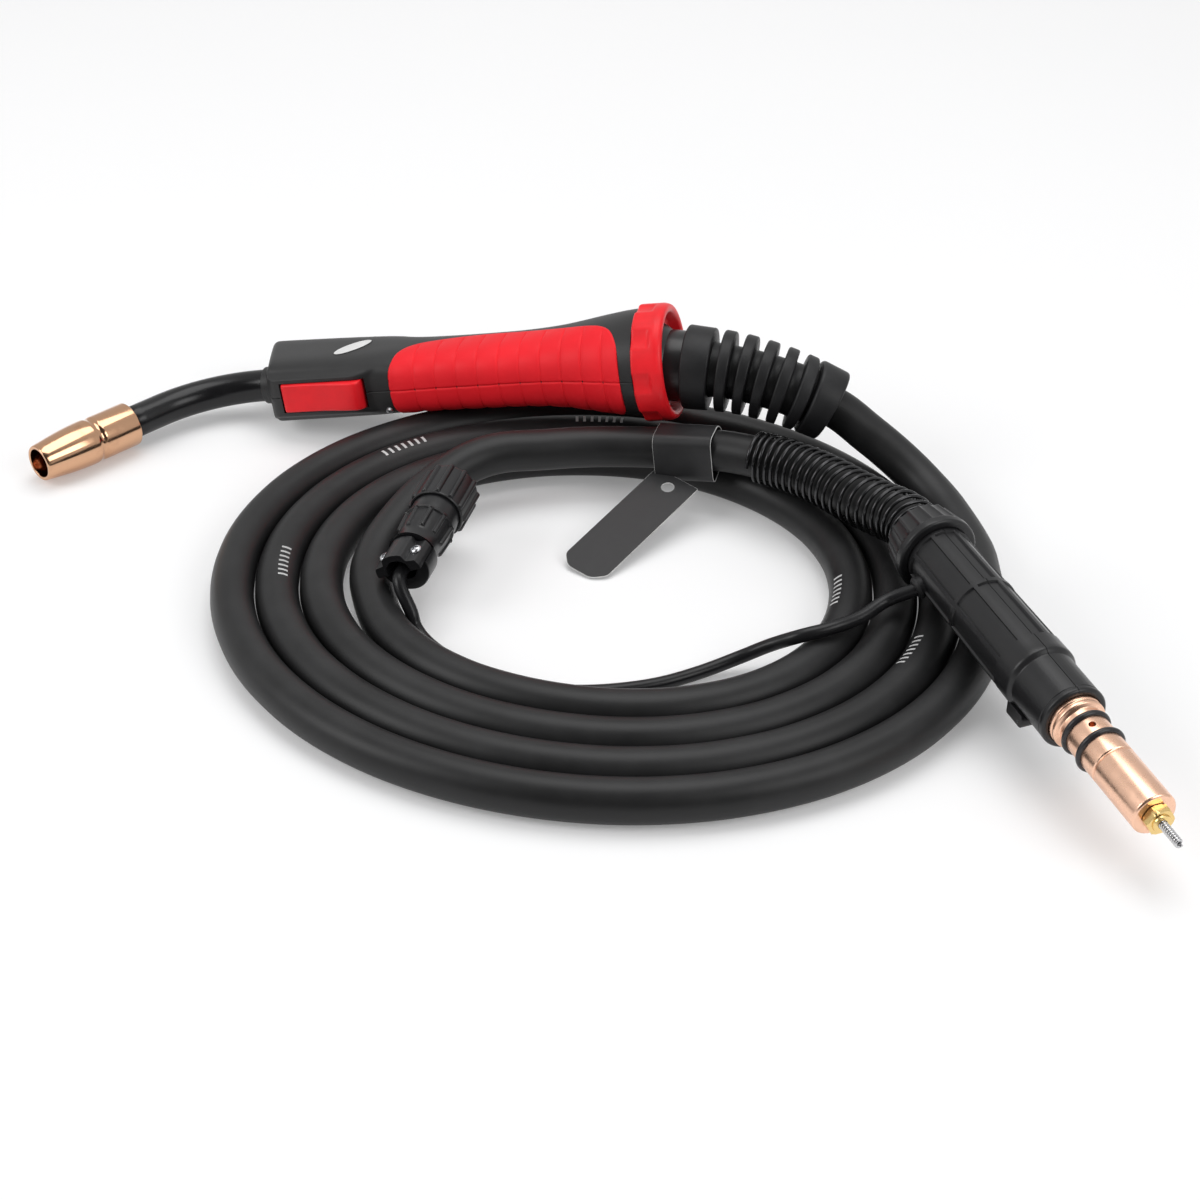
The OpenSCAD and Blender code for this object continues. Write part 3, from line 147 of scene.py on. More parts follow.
class Bench:
    """Builds the node tree of one material, or of the world."""

    def __init__(self, label: str, sky: bool = False) -> None:
        """Starts an empty tree.

        Args:
            label: the material's name.
            sky: makes a world in place of a material.
        """
        self.owner = bpy.data.worlds.new(label) if sky else bpy.data.materials.new(label)
        self.owner.use_nodes = True
        self.tree = self.owner.node_tree
        self.tree.nodes.clear()
        self.end = "ShaderNodeOutputWorld" if sky else "ShaderNodeOutputMaterial"

    def put(
        self, kind: str, settings: Dict[str, object], inputs: Dict[Key, object], output: Key = 0
    ) -> Wire:
        """Adds any node.

        Args:
            kind: the node's type name.
            settings: what is set on the node first.
            inputs: a value or a link for each socket, by name or place.
            output: which output to hand back.

        Returns:
            That output.
        """
        node = self.tree.nodes.new(kind)
        for name, value in settings.items():
            setattr(node, name, value)
        for name, value in inputs.items():
            target = node.inputs[name]
            if isinstance(value, Wire):
                self.tree.links.new(value.socket, target)
            elif isinstance(value, tuple) and len(value) == 3 and target.type == "RGBA":
                target.default_value = (*value, 1.0)
            else:
                target.default_value = value
        return Wire(self, node.outputs[output])

    def place(self) -> Wire:
        """Position on the piece at rest, in metres."""
        return self.put("ShaderNodeTexCoord", {}, {}, "Object")

    def noise(
        self, scale: float, detail: float = 3.0, rough: float = 0.55, at: Optional[Wire] = None
    ) -> Wire:
        """Cloudy noise from 0 to 1.

        Args:
            scale: clouds in a metre.
            detail: octaves.
            rough: strength of the finer octaves.
            at: where it is read, or the piece's own place.

        Returns:
            The noise value.
        """
        inputs = {"Vector": at or self.place(), "Scale": scale, "Detail": detail, "Roughness": rough}
        return self.put("ShaderNodeTexNoise", {}, inputs)

    def share(self, way: Wire, axis: Triple) -> Wire:
        """Length of a vector along a direction."""
        return self.put("ShaderNodeVectorMath", {"operation": "DOT_PRODUCT"}, {0: way, 1: axis}, "Value")

    def ray(self, kind: str) -> Wire:
        """1 for rays of one kind, such as Camera or Glossy."""
        return self.put("ShaderNodeLightPath", {}, {}, f"Is {kind} Ray")

    def upward(self) -> Wire:
        """How far the surface faces up, from -1 to 1."""
        normal = self.put("ShaderNodeNewGeometry", {}, {}, "Normal")
        return self.put("ShaderNodeSeparateXYZ", {}, {0: normal}, "Z")

    def blend(self, low: Union[Colour, Wire], high: Union[Colour, Wire], share: Number) -> Wire:
        """Colour between two colours."""
        return self.put("ShaderNodeMix", {"data_type": "RGBA"}, {0: share, 6: low, 7: high}, 2)

    def seen(self) -> Wire:
        """1 for rays from the camera and for rays that a mirror or a clear body passes on."""
        return self.ray("Camera").most(self.ray("Glossy")).most(self.ray("Transmission"))

    def mix(self, share: Number, low: Wire, high: Wire) -> Wire:
        """Shader between two shaders."""
        return self.put("ShaderNodeMixShader", {}, {0: share, 1: low, 2: high})

    def relief(self, height: Wire, depth: float) -> Wire:
        """Normal from a height value; depth is the real height of 1, in metres."""
        return self.put("ShaderNodeBump", {}, {"Height": height, "Distance": depth, "Strength": 1.0})

    def finish(self, sockets: Dict[str, object]) -> bpy.types.Material:
        """Closes the tree with one Principled shader.

        Args:
            sockets: values and links of the shader's sockets.

        Returns:
            The finished material.
        """
        self.close(self.put("ShaderNodeBsdfPrincipled", {}, sockets))
        return self.owner

    def close(self, shader: Wire) -> None:
        """Links a shader to the tree's output."""
        end = self.tree.nodes.new(self.end)
        self.tree.links.new(shader.socket, end.inputs["Surface"])


# ---------------- places and routes
def clamp(value: float) -> float:
    """The value held between 0 and 1."""
    return min(1.0, max(0.0, value))


def eased(share: float) -> float:
    """Smooth step of a share from 0 to 1."""
    return share * share * (3 - 2 * share)


def arch(share: float) -> float:
    """Height of a half round of radius 1 at a distance from its middle."""
    return math.sqrt(max(0.0, 1 - share ** 2))


@dataclass(frozen=True)
class Place:
    """A right handed frame: its own x, y and z axes and origin in the row frame."""

    origin: Triple
    x: Triple
    y: Triple
    z: Triple

    def point(self, x: float, y: float, z: float) -> np.ndarray:
        """The row point of local coordinates in metres."""
        return np.array(self.origin) + x * np.array(self.x) + y * np.array(self.y) + z * np.array(self.z)

    def mm(self, x: float, y: float = 0.0, z: float = 0.0) -> np.ndarray:
        """The row point of local coordinates in millimetres."""
        return self.point(x / 1000, y / 1000, z / 1000)

    def moved(self, x: float, y: float = 0.0, z: float = 0.0) -> "Place":
        """The same frame moved along its own axes, in millimetres."""
        return Place.of(self.mm(x, y, z), self.x, self.y, self.z)

    @staticmethod
    def of(origin: Sequence[float], *axes: Sequence[float]) -> "Place":
        """A place from an origin and its x, y and z axes."""
        return Place(tuple(origin), *(tuple(axis) for axis in axes))

    @staticmethod
    def turned(origin: Sequence[float], rotation: np.ndarray) -> "Place":
        """A place from an origin and a rotation matrix."""
        return Place.of(origin, *rotation.T)


def spin(axis: str, degrees: float) -> np.ndarray:
    """Rotation matrix about one axis.

    Args:
        axis: X, Y or Z.
        degrees: the turn by the right hand rule.

    Returns:
        The 3 by 3 matrix.
    """
    return np.array(Matrix.Rotation(math.radians(degrees), 3, axis))


HERE = np.array((-0.0001, -0.0041, 0.0))
TORCH_TURN = spin("Z", -11.8) @ spin("Y", -10.6) @ spin("X", -96.4)
TORCH = Place.turned(HERE + (-0.0416, 0.0226, 0.0158), TORCH_TURN)
HANDLE_END_MM = 154.0
BALL = TORCH.mm(HANDLE_END_MM)
NECK_START_MM = -5.5
NECK_BEND_MM = 46.5
NECK_TURN = 57.0


def neck_point(degrees: float) -> np.ndarray:
    """Point of the neck's middle line where it has turned by some degrees."""
    a = math.radians(degrees)
    return TORCH.mm(NECK_START_MM - NECK_BEND_MM * math.sin(a), 0, -NECK_BEND_MM * (1 - math.cos(a)))


HEAD_TURN = TORCH_TURN @ spin("Y", -NECK_TURN) @ spin("Z", 180.0)
HEAD = Place.turned(neck_point(NECK_TURN), HEAD_TURN)
PLUG = Place.turned(HERE + (0.2108, -0.1262, 0.0316), spin("Z", -68.4) @ spin("Y", 2.75))
LEAD_ROLL = math.radians(112.0)
LEAD_OUT = math.cos(LEAD_ROLL) * np.array(PLUG.z) - math.sin(LEAD_ROLL) * np.array(PLUG.y)
LEAD_EXIT = Place.of(PLUG.mm(9.0), LEAD_OUT, PLUG.x, np.cross(LEAD_OUT, PLUG.x))
CONTROL_TURN = spin("Z", 73.4) @ spin("Y", -4.0) @ spin("X", -26.0)
CONTROL = Place.turned(HERE + (0.018, -0.1243, 0.0208), CONTROL_TURN)

TAIL_ROUTE = [
    (0.1065, -0.0124, 0.0441), (0.1259, -0.0173, 0.0451), (0.1455, -0.0217, 0.0443),
    (0.1642, -0.0263, 0.0406), (0.1815, -0.0289, 0.0335), (0.1939, -0.0341, 0.0256),
    (0.2014, -0.0387, 0.0212), (0.2086, -0.0443, 0.0168), (0.2155, -0.0521, 0.0128),
    (0.2223, -0.0645, 0.0098),
]
END_ROUTE = [
    (0.0079, -0.0921, 0.0094), (0.0137, -0.0781, 0.0116), (0.0213, -0.0649, 0.0142),
    (0.0305, -0.0545, 0.0170), (0.0407, -0.0469, 0.0196), (0.0519, -0.0425, 0.0208),
    (0.0662, -0.0401, 0.0206), (0.0817, -0.0379, 0.0206), (0.0973, -0.0379, 0.0210),
    (0.1132, -0.0398, 0.0218), (0.1279, -0.0436, 0.0234), (0.1383, -0.0477, 0.0250),
    (0.1485, -0.0530, 0.0260), (0.1585, -0.0583, 0.0265), (0.1675, -0.0655, 0.0270),
    (0.1763, -0.0745, 0.0276), (0.1847, -0.0857, 0.0285), (0.1941, -0.0978, 0.0304),
    (0.2014, -0.1083, 0.0324),
]
LEAD_ROUTE = [
    (0.1914, -0.1443, 0.0216), (0.1819, -0.1515, 0.0194), (0.1714, -0.1579, 0.0192),
    (0.1605, -0.1603, 0.0174), (0.1502, -0.1575, 0.0114), (0.1395, -0.1575, 0.0060),
    (0.1259, -0.1625, 0.0032), (0.1114, -0.1689, 0.0026), (0.0971, -0.1727, 0.0026),
    (0.0831, -0.1741, 0.0026), (0.0689, -0.1729, 0.0026), (0.0543, -0.1691, 0.0026),
    (0.0425, -0.1605, 0.0026), (0.0333, -0.1515, 0.0026), (0.0271, -0.1441, 0.0032),
    (0.0235, -0.1397, 0.0060), (0.0219, -0.1369, 0.0106),
]

TAIL_RUN = np.array(TAIL_ROUTE[1]) - np.array(TAIL_ROUTE[0])
TAIL_RUN /= np.linalg.norm(TAIL_RUN)


def across(ahead: np.ndarray) -> Tuple[np.ndarray, np.ndarray]:
    """Level side direction of a heading, and the direction square to both."""
    side = np.cross(ahead, (0, 0, 1))
    side /= np.linalg.norm(side)
    return side, np.cross(side, ahead)


@dataclass
class Route:
    """A smooth line through points, the same line as the part's source draws."""

    points: List[np.ndarray]

    def __post_init__(self) -> None:
        """Turns the points into arrays."""
        self.points = [np.array(p, float) for p in self.points]

    def _near(self, i: int) -> Tuple[np.ndarray, np.ndarray]:
        """The neighbours before and after point i, mirrored past the ends."""
        p = self.points
        before = p[i - 1] if i > 0 else 2 * p[0] - p[1]
        after = p[i + 1] if i < len(p) - 1 else 2 * p[-1] - p[-2]
        return before, after

    def at(self, u: float) -> np.ndarray:
        """The point at u, where u = 0 is the first point and u = 1 the second."""
        p = self.points
        i = min(len(p) - 2, max(0, math.floor(u)))
        t = u - i
        a, b, c, d = self._near(i)[0], p[i], p[i + 1], self._near(i + 1)[1]
        square, cube = 2 * a - 5 * b + 4 * c - d, 3 * b - a - 3 * c + d
        return 0.5 * (2 * b + (c - a) * t + square * t * t + cube * t ** 3)

    def heading(self, u: float) -> np.ndarray:
        """Unit direction at u."""
        step = self.at(min(len(self.points) - 1, u + 0.02)) - self.at(max(0, u - 0.02))
        return step / np.linalg.norm(step)

    def length(self) -> float:
        """Length of the line in metres."""
        return float(np.linalg.norm(np.diff(self.sampled(0.05), axis=0), axis=1).sum())

    def sampled(self, step: float) -> np.ndarray:
        """Points of the line at equal steps of u."""
        return np.array([self.at(u) for u in np.arange(0, len(self.points) - 1 + 1e-9, step)])

    def tube(self, name: str, diameter: float, sides: int = 8, steps: int = 10) -> Piece:
        """A curve object of one open spline with a round section.

        Args:
            name: the piece's name.
            diameter: outside diameter.
            sides: Blender's bevel resolution.
            steps: rings between two points.

        Returns:
            The curve object.
        """
        curve = bpy.data.curves.new(name, "CURVE")
        curve.dimensions = "3D"
        curve.twist_mode = "MINIMUM"
        curve.bevel_depth = diameter / 2
        curve.bevel_resolution = sides
        curve.resolution_u = steps
        curve.use_fill_caps = True
        spline = curve.splines.new("BEZIER")
        spline.bezier_points.add(len(self.points) - 1)
        for i, knot in enumerate(spline.bezier_points):
            before, after = self._near(i)
            reach = (after - before) / 6
            knot.handle_left_type = knot.handle_right_type = "FREE"
            knot.co = self.points[i]
            knot.handle_left = self.points[i] - reach
            knot.handle_right = self.points[i] + reach
        piece = bpy.data.objects.new(name, curve)
        bpy.context.scene.collection.objects.link(piece)
        return piece


@dataclass
class Coil:
    """Plan of the coiled cable, worked out by loop as in the part's source; angles are in degrees."""

    centre: Tuple[float, float] = (0.0922 + HERE[0], -0.1109 + HERE[1])
    radius: float = 0.1317
    pitch: float = 0.0163
    start: float = 5.0
    turn: float = 1260.0
    reverse_at: float = 90.0
    step_in: float = 110.0
    height: float = 0.008
    oval: float = 0.0055
    lean: float = 0.0034
    dent: float = 0.0022
    tuck: float = 0.0024
    tuck_over: float = 50.0
    per_loop: int = 24

    def at(self, angle: float) -> np.ndarray:
        """Point of the cable's centre line at an angle in degrees."""
        a = math.radians(angle)
        turns = math.floor((self.reverse_at - angle) / 360)
        part = min(1.0, (self.reverse_at - angle - 360 * turns) / self.step_in)
        oval = self.oval * math.cos(2 * a) - self.lean * math.sin(2 * a)
        base = self.radius + oval - self.dent * max(0.0, math.sin(a)) ** 3
        tuck = self.tuck * max(0.0, (self.start - self.turn + self.tuck_over - angle) / self.tuck_over) ** 2
        r = base - self.pitch * (turns - 1 + eased(part)) - tuck
        return np.array((self.centre[0] + r * math.cos(a), self.centre[1] + r * math.sin(a), self.height))

    def heading(self, angle: float) -> np.ndarray:
        """Direction of winding at an angle."""
        step = self.at(angle - 0.5) - self.at(angle + 0.5)
        return step / np.linalg.norm(step)

    def points(self, diameter: float) -> List[np.ndarray]:
        """The wound points with a straight end one diameter long at each end."""
        count = round(self.turn * self.per_loop / 360)
        angles = [self.start - self.turn * k / count for k in range(count + 1)]
        first, last = angles[0], angles[-1]
        enter = self.at(first) - diameter * self.heading(first)
        leave = self.at(last) + diameter * self.heading(last)
        return [enter, *[self.at(a) for a in angles], leave]


# ---------------- finishes
def shade(colour: Colour, times: float, plus: float = 0.0) -> Colour:
    """A lighter or darker colour, with no channel over 1."""
    return tuple(min(1.0, channel * times + plus) for channel in colour)


@dataclass(frozen=True)
class Finish:
    """A named finish that can dress a piece; slot is the record's name for it, where that is another."""

    label: str
    colour: Colour
    roughness: float
    slot: str = field(default="", kw_only=True)

    def sockets(self, bench: Bench) -> Dict[str, object]:
        """Values and links of the Principled shader."""
        return {"Base Color": self.colour, "Roughness": self.roughness}

    def material(self) -> bpy.types.Material:
        """The finish's material, made once."""
        name = f"{self.label}_finish"
        found = bpy.data.materials.get(name)
        if found:
            return found
        bench = Bench(name)
        return bench.finish(self.sockets(bench))

    def dress(self, piece: Piece) -> None:
        """Gives every slot of a piece this finish."""
        if not piece.data.materials:
            piece.data.materials.append(self.material())
        for slot in piece.material_slots:
            slot.link = "OBJECT"
            slot.material = self.material()


@dataclass(frozen=True)
class Rubber(Finish):
    """Rubber with a soft grain, cloudy shade and a little dust on what faces up."""

    grain_mm: float = 0.45
    grain_depth: float = 0.00003
    bloom: float = 0.25
    dust: float = 0.10
    dust_colour: Colour = (0.25, 0.25, 0.255)
    specular: float = 0.45

    def sockets(self, bench: Bench) -> Dict[str, object]:
        """Values and links of the Principled shader."""
        clouds = bench.noise(38.0, 4.0, 0.6)
        fine = bench.noise(1000.0 / self.grain_mm, 2.0, 0.5)
        specks = bench.noise(1500.0, 2.0, 0.5).between(0.66, 0.78)
        lift = shade(self.colour, 1.0 + self.bloom, 0.006 * self.bloom)
        drop = shade(self.colour, 1.0 - self.bloom)
        base = bench.blend(drop, lift, clouds.between(0.3, 0.7))
        lying = bench.upward().between(0.1, 1.0) * (clouds.between(0.35, 0.75) * 0.7 + 0.3)
        base = bench.blend(base, self.dust_colour, lying * self.dust + specks * lying * self.dust)
        return {
            "Base Color": base,
            "Roughness": clouds * 0.14 + (self.roughness - 0.07),
            "Specular IOR Level": self.specular,
            "Normal": bench.relief(fine, self.grain_depth),
        }


@dataclass(frozen=True)
class Moulded(Finish):
    """Moulded plastic with a spark eroded texture and faint scuffs."""

    grain_mm: float = 0.5
    grain_depth: float = 0.00003
    scuffs: float = 0.3
    scuff_colour: Colour = (0.16, 0.16, 0.165)
    specular: float = 0.5

    def sockets(self, bench: Bench) -> Dict[str, object]:
        """Values and links of the Principled shader."""
        fine = bench.noise(1000.0 / self.grain_mm, 1.5, 0.4)
        clouds = bench.noise(60.0, 4.0, 0.6)
        rubbed = bench.noise(420.0, 5.0, 0.75).between(0.62, 0.8) * clouds.between(0.45, 0.7)
        base = bench.blend(shade(self.colour, 0.92), shade(self.colour, 1.09), clouds.between(0.3, 0.7))
        return {
            "Base Color": bench.blend(base, self.scuff_colour, rubbed * self.scuffs),
            "Roughness": clouds * 0.12 + rubbed * 0.1 + (self.roughness - 0.06),
            "Specular IOR Level": self.specular,
            "Normal": bench.relief(fine, self.grain_depth),
        }


@dataclass(frozen=True)
class TurnedMetal(Finish):
    """Lathe turned metal with ring lines round an axis, smudges and light tarnish."""

    axis: Triple = (1.0, 0.0, 0.0)
    ring_mm: float = 0.25
    ring_depth: float = 0.000004
    tarnish: float = 0.3
    tarnish_colour: Colour = (0.4, 0.2, 0.1)
    smudge: float = 0.12

    def sockets(self, bench: Bench) -> Dict[str, object]:
        """Values and links of the Principled shader."""
        run = bench.share(bench.place(), self.axis)
        line = bench.put("ShaderNodeCombineXYZ", {}, {"X": run * (1000.0 / self.ring_mm)})
        rings = bench.noise(1.0, 2.0, 0.6, line)
        clouds = bench.noise(110.0, 5.0, 0.65)
        smears = bench.noise(320.0, 3.0, 0.6).between(0.45, 0.75)
        half = 0.5 * self.smudge
        stained = clouds.between(0.5, 0.85) * self.tarnish
        return {
            "Base Color": bench.blend(self.colour, self.tarnish_colour, stained),
            "Metallic": 1.0,
            "Roughness": clouds * self.smudge + smears * half + (self.roughness - half),
            "Normal": bench.relief(rings, self.ring_depth),
        }


@dataclass(frozen=True)
class PlatedSteel(Finish):
    """Plated or blackened steel with tiny pits and rubbed spots."""

    rub_colour: Colour = (0.55, 0.55, 0.57)
    rub: float = 0.2
    metallic: float = 1.0
    pit_depth: float = 0.00001

    def sockets(self, bench: Bench) -> Dict[str, object]:
        """Values and links of the Principled shader."""
        clouds = bench.noise(500.0, 4.0, 0.6)
        pits = bench.noise(3500.0, 2.0, 0.5)
        return {
            "Base Color": bench.blend(self.colour, self.rub_colour, clouds.between(0.55, 0.8) * self.rub),
            "Metallic": self.metallic,
            "Roughness": clouds * 0.18 + (self.roughness - 0.09),
            "Normal": bench.relief(pits, self.pit_depth),
        }


@dataclass(frozen=True)
class Card(Finish):
    """Laminated card with a faint fibre and handling marks."""

    fibre_depth: float = 0.00002

    def sockets(self, bench: Bench) -> Dict[str, object]:
        """Values and links of the Principled shader."""
        fibres = bench.noise(900.0, 4.0, 0.7)
        clouds = bench.noise(70.0, 3.0, 0.6)
        worn = shade(self.colour, 1.5, 0.01)
        return {
            "Base Color": bench.blend(self.colour, worn, clouds.between(0.4, 0.8) * 0.6),
            "Roughness": clouds * 0.15 + self.roughness,
            "Normal": bench.relief(fibres, self.fibre_depth),
        }


CABLE_RUBBER = Rubber("cable_rubber", (0.012, 0.012, 0.0125), 0.44, bloom=0.2, dust=0.02, specular=0.34)
LEAD_RUBBER = Rubber(
    "lead_rubber", (0.008, 0.008, 0.009), 0.30, bloom=0.2, dust=0.01, specular=0.30, slot="cable_rubber"
)
BOOT_RUBBER = Rubber("boot_rubber", (0.013, 0.013, 0.014), 0.46, bloom=0.25, dust=0.03, specular=0.30)
NECK_SLEEVE = Rubber(
    "neck_sleeve", (0.007, 0.007, 0.008), 0.24, grain_depth=0.00001, bloom=0.2, dust=0.01, specular=0.35
)
GRIP_RUBBER = Rubber("grip_rubber", (0.90, 0.016, 0.026), 0.50, bloom=0.04, dust=0.0, specular=0.22)
ORING_RUBBER = Rubber("oring_rubber", (0.022, 0.020, 0.022), 0.28, grain_depth=0.00001, bloom=0.15, dust=0.02)
RED_PLASTIC = Moulded(
    "red_plastic", (0.88, 0.014, 0.022), 0.36,
    grain_depth=0.000012, scuffs=0.05, scuff_colour=(0.9, 0.2, 0.2), specular=0.30,
)
HANDLE_PLASTIC = Moulded("handle_plastic", (0.022, 0.022, 0.0225), 0.45, scuffs=0.05, specular=0.40)
PLUG_PLASTIC = Moulded(
    "plug_plastic", (0.012, 0.012, 0.013), 0.34, grain_depth=0.000015, scuffs=0.08, specular=0.42
)
CONTROL_PLASTIC = Moulded(
    "control_plastic", (0.010, 0.010, 0.011), 0.30, grain_depth=0.000015, scuffs=0.1, specular=0.45
)
KNUCKLE_PLASTIC = Moulded(
    "knuckle_plastic", (0.014, 0.014, 0.015), 0.32,
    grain_depth=0.000012, scuffs=0.12, scuff_colour=(0.07, 0.07, 0.075), slot="handle_plastic",
)
INSERT_PLASTIC = Moulded("insert_plastic", (0.035, 0.035, 0.04), 0.45, scuffs=0.1)
SWITCH_PLASTIC = Moulded("switch_plastic", (0.025, 0.025, 0.03), 0.45, scuffs=0.1)
PLUNGER_PLASTIC = Moulded(
    "plunger_plastic", (0.70, 0.70, 0.66), 0.4, scuffs=0.05, scuff_colour=(0.5, 0.5, 0.48)
)
INSULATOR = Moulded("insulator", (0.08, 0.04, 0.03), 0.5, scuffs=0.1)
BADGE_WHITE = Moulded(
    "badge_white", (0.74, 0.74, 0.735), 0.35,
    grain_depth=0.000008, scuffs=0.06, scuff_colour=(0.55, 0.55, 0.55), slot="handle_plastic",
)
NOZZLE_COPPER = TurnedMetal(
    "copper", (0.66, 0.39, 0.24), 0.14, HEAD.x, tarnish=0.40, tarnish_colour=(0.36, 0.17, 0.09), smudge=0.10
)
TIP_COPPER = TurnedMetal("tip_copper", (0.86, 0.42, 0.28), 0.26, HEAD.x, tarnish=0.3)
PIN_COPPER = TurnedMetal(
    "pin_copper", (0.95, 0.60, 0.43), 0.27, PLUG.x,
    ring_mm=0.18, ring_depth=0.000005, tarnish=0.2, tarnish_colour=(0.62, 0.34, 0.22),
)
BRASS = TurnedMetal(
    "brass", (0.86, 0.62, 0.26), 0.20, PLUG.x, tarnish=0.25, tarnish_colour=(0.5, 0.32, 0.1)
)
ZINC_STEEL = PlatedSteel("steel", (0.66, 0.67, 0.69), 0.28)
SPRING_STEEL = PlatedSteel(
    "black_steel", (0.05, 0.05, 0.052), 0.16, rub_colour=(0.20, 0.20, 0.21), rub=0.35, metallic=0.85
)
LINER_STEEL = PlatedSteel(
    "liner_steel", (0.60, 0.60, 0.61), 0.24, rub_colour=(0.35, 0.33, 0.30), slot="steel"
)
PRINT_GREY = Card("print_grey", (0.50, 0.50, 0.50), 0.5, slot="cable_rubber")
TAG_CARD = Card("tag_card", (0.010, 0.010, 0.011), 0.42)
TAG_EDGE = Card("tag_edge", (0.62, 0.62, 0.61), 0.5, slot="tag_card")


# ---------------- mesh helpers
def shade_smooth(mesh: bpy.types.Mesh, below: float) -> None:
    """Shades every edge smooth that bends less than some degrees."""
    mesh.polygons.foreach_set("use_smooth", [True] * len(mesh.polygons))
    mesh.set_sharp_from_angle(angle=math.radians(below))


def mesh_piece(
    name: str, points: Iterable[Sequence[float]], faces: Iterable[Sequence[int]], smooth_below: float = 40.0
) -> Piece:
    """Makes a mesh object, smooth below an angle.

    Args:
        name: the piece's name.
        points: row points.
        faces: lists of point numbers.
        smooth_below: degrees below which an edge is shaded smooth.

    Returns:
        The object.
    """
    mesh = bpy.data.meshes.new(name)
    mesh.from_pydata([tuple(p) for p in points], [], [tuple(f) for f in faces])
    mesh.validate()
    work = bmesh.new()
    work.from_mesh(mesh)
    bmesh.ops.remove_doubles(work, verts=work.verts, dist=2e-6)
    bmesh.ops.dissolve_degenerate(work, edges=work.edges, dist=1e-6)
    bmesh.ops.recalc_face_normals(work, faces=work.faces)
    work.to_mesh(mesh)
    work.free()
    shade_smooth(mesh, smooth_below)
    piece = bpy.data.objects.new(name, mesh)
    bpy.context.scene.collection.objects.link(piece)
    return piece


def skin(
    name: str, rings: Sequence[Sequence[np.ndarray]], closed: bool = False, smooth_below: float = 40.0
) -> Piece:
    """Skin over rings of equal length.

    Args:
        name: the piece's name.
        rings: closed rings of points.
        closed: joins the last ring to the first in place of two caps.
        smooth_below: degrees below which an edge is shaded smooth.

    Returns:
        The object.
    """
    n, m = len(rings[0]), len(rings)
    faces: List[Tuple[int, ...]] = []
    for i in range(m if closed else m - 1):
        j = (i + 1) % m
        for k in range(n):
            faces.append((i * n + k, i * n + (k + 1) % n, j * n + (k + 1) % n, j * n + k))
    if not closed:
        faces.append(tuple(range(n - 1, -1, -1)))
        faces.append(tuple(range((m - 1) * n, m * n)))
    return mesh_piece(name, [p for ring in rings for p in ring], faces, smooth_below)


def circle(
    centre: np.ndarray, side: np.ndarray, up: np.ndarray, radius: float, sides: int
) -> List[np.ndarray]:
    """Points of a circle in the plane of side and up."""
    turns = [2 * math.pi * k / sides for k in range(sides)]
    return [centre + radius * (math.cos(t) * side + math.sin(t) * up) for t in turns]


# ---------------- turned and cut pieces
Relief = Callable[[float, float, float], float]
ON_AXIS_MM = 0.05


def off_middle(turn: float, count: int, first: float = 0.0) -> float:
    """Degrees from a turn to the nearest of some evenly spaced marks.

    Args:
        turn: the turn in degrees.
        count: marks in a full turn.
        first: turn of the first mark.

    Returns:
        The angle, below zero before the mark.
    """
    step = 360 / count
    return (turn + step / 2 - first) % step - step / 2


def soften(points: Sequence[Triple], steps: int = 4) -> Line:
    """Rounds the corners of a closed outline.

    Args:
        points: corners as two coordinates and a rounding, in millimetres.
        steps: pieces of each rounding.

    Returns:
        The rounded outline.
    """
    line: Line = []
    count = len(points)
    for i, (x, y, rounding) in enumerate(points):
        here = np.array((x, y))
        before = np.array(points[i - 1][:2]) - here
        after = np.array(points[(i + 1) % count][:2]) - here
        reach = min(rounding, 0.45 * np.linalg.norm(before), 0.45 * np.linalg.norm(after))
        if reach < 1e-4:
            line.append((x, y))
            continue
        start = here + before / np.linalg.norm(before) * reach
        end = here + after / np.linalg.norm(after) * reach
        for k in range(steps + 1):
            t = k / steps
            line.append(tuple((1 - t) ** 2 * start + 2 * t * (1 - t) * here + t * t * end))
    return line


@dataclass
class Turned:
    """A turned body round a place's x axis, whose outside may carry ribs or flutes, in millimetres.

    Its corners are places along the axis, radii and roundings. A relief gives how far the outside stands
    off at a place, a radius and a turn; extra holds places that need a ring of their own.
    """

    name: str
    place: Place
    corners: Sequence[Triple]
    relief: Optional[Relief] = None
    angles: Optional[List[float]] = None
    sides: int = 96
    whole: bool = True
    extra: Sequence[float] = ()
    smooth_below: float = 35.0

    def outline(self) -> Line:
        """The rounded outline, with extra stations on its outer side."""
        line = soften(self.corners)
        for x in self.extra:
            best = None
            for i, (a, b) in enumerate(zip(line, line[1:] + line[:1])):
                if min(a[0], b[0]) + 1e-4 < x < max(a[0], b[0]) - 1e-4:
                    r = a[1] + (b[1] - a[1]) * (x - a[0]) / (b[0] - a[0])
                    if best is None or r > best[1]:
                        best = (i, r)
            if best:
                line.insert(best[0] + 1, (x, best[1]))
        return line

    def build(self) -> Piece:
        """Makes the body.

        Returns:
            The mesh object.
        """
        turns = self.angles or [360 * k / self.sides for k in range(self.sides)]
        line = self.outline()
        rings = []
        for turn in turns:
            a = math.radians(turn)
            ring = []
            for x, r in line:
                off = self.relief(x, r, turn) if self.relief else 0.0
                radius = 0.0 if r < ON_AXIS_MM else (r + off) / 1000
                ring.append(self.place.point(x / 1000, radius * math.sin(a), radius * math.cos(a)))
            rings.append(ring)
        return skin(self.name, rings, closed=self.whole, smooth_below=self.smooth_below)

    def fit(self, finish: Finish, body: Body, *nodes: str) -> Piece:
        """Makes the body, dresses it and mounts it, as fit_out does."""
        return fit_out(self.build(), finish, body, *nodes)


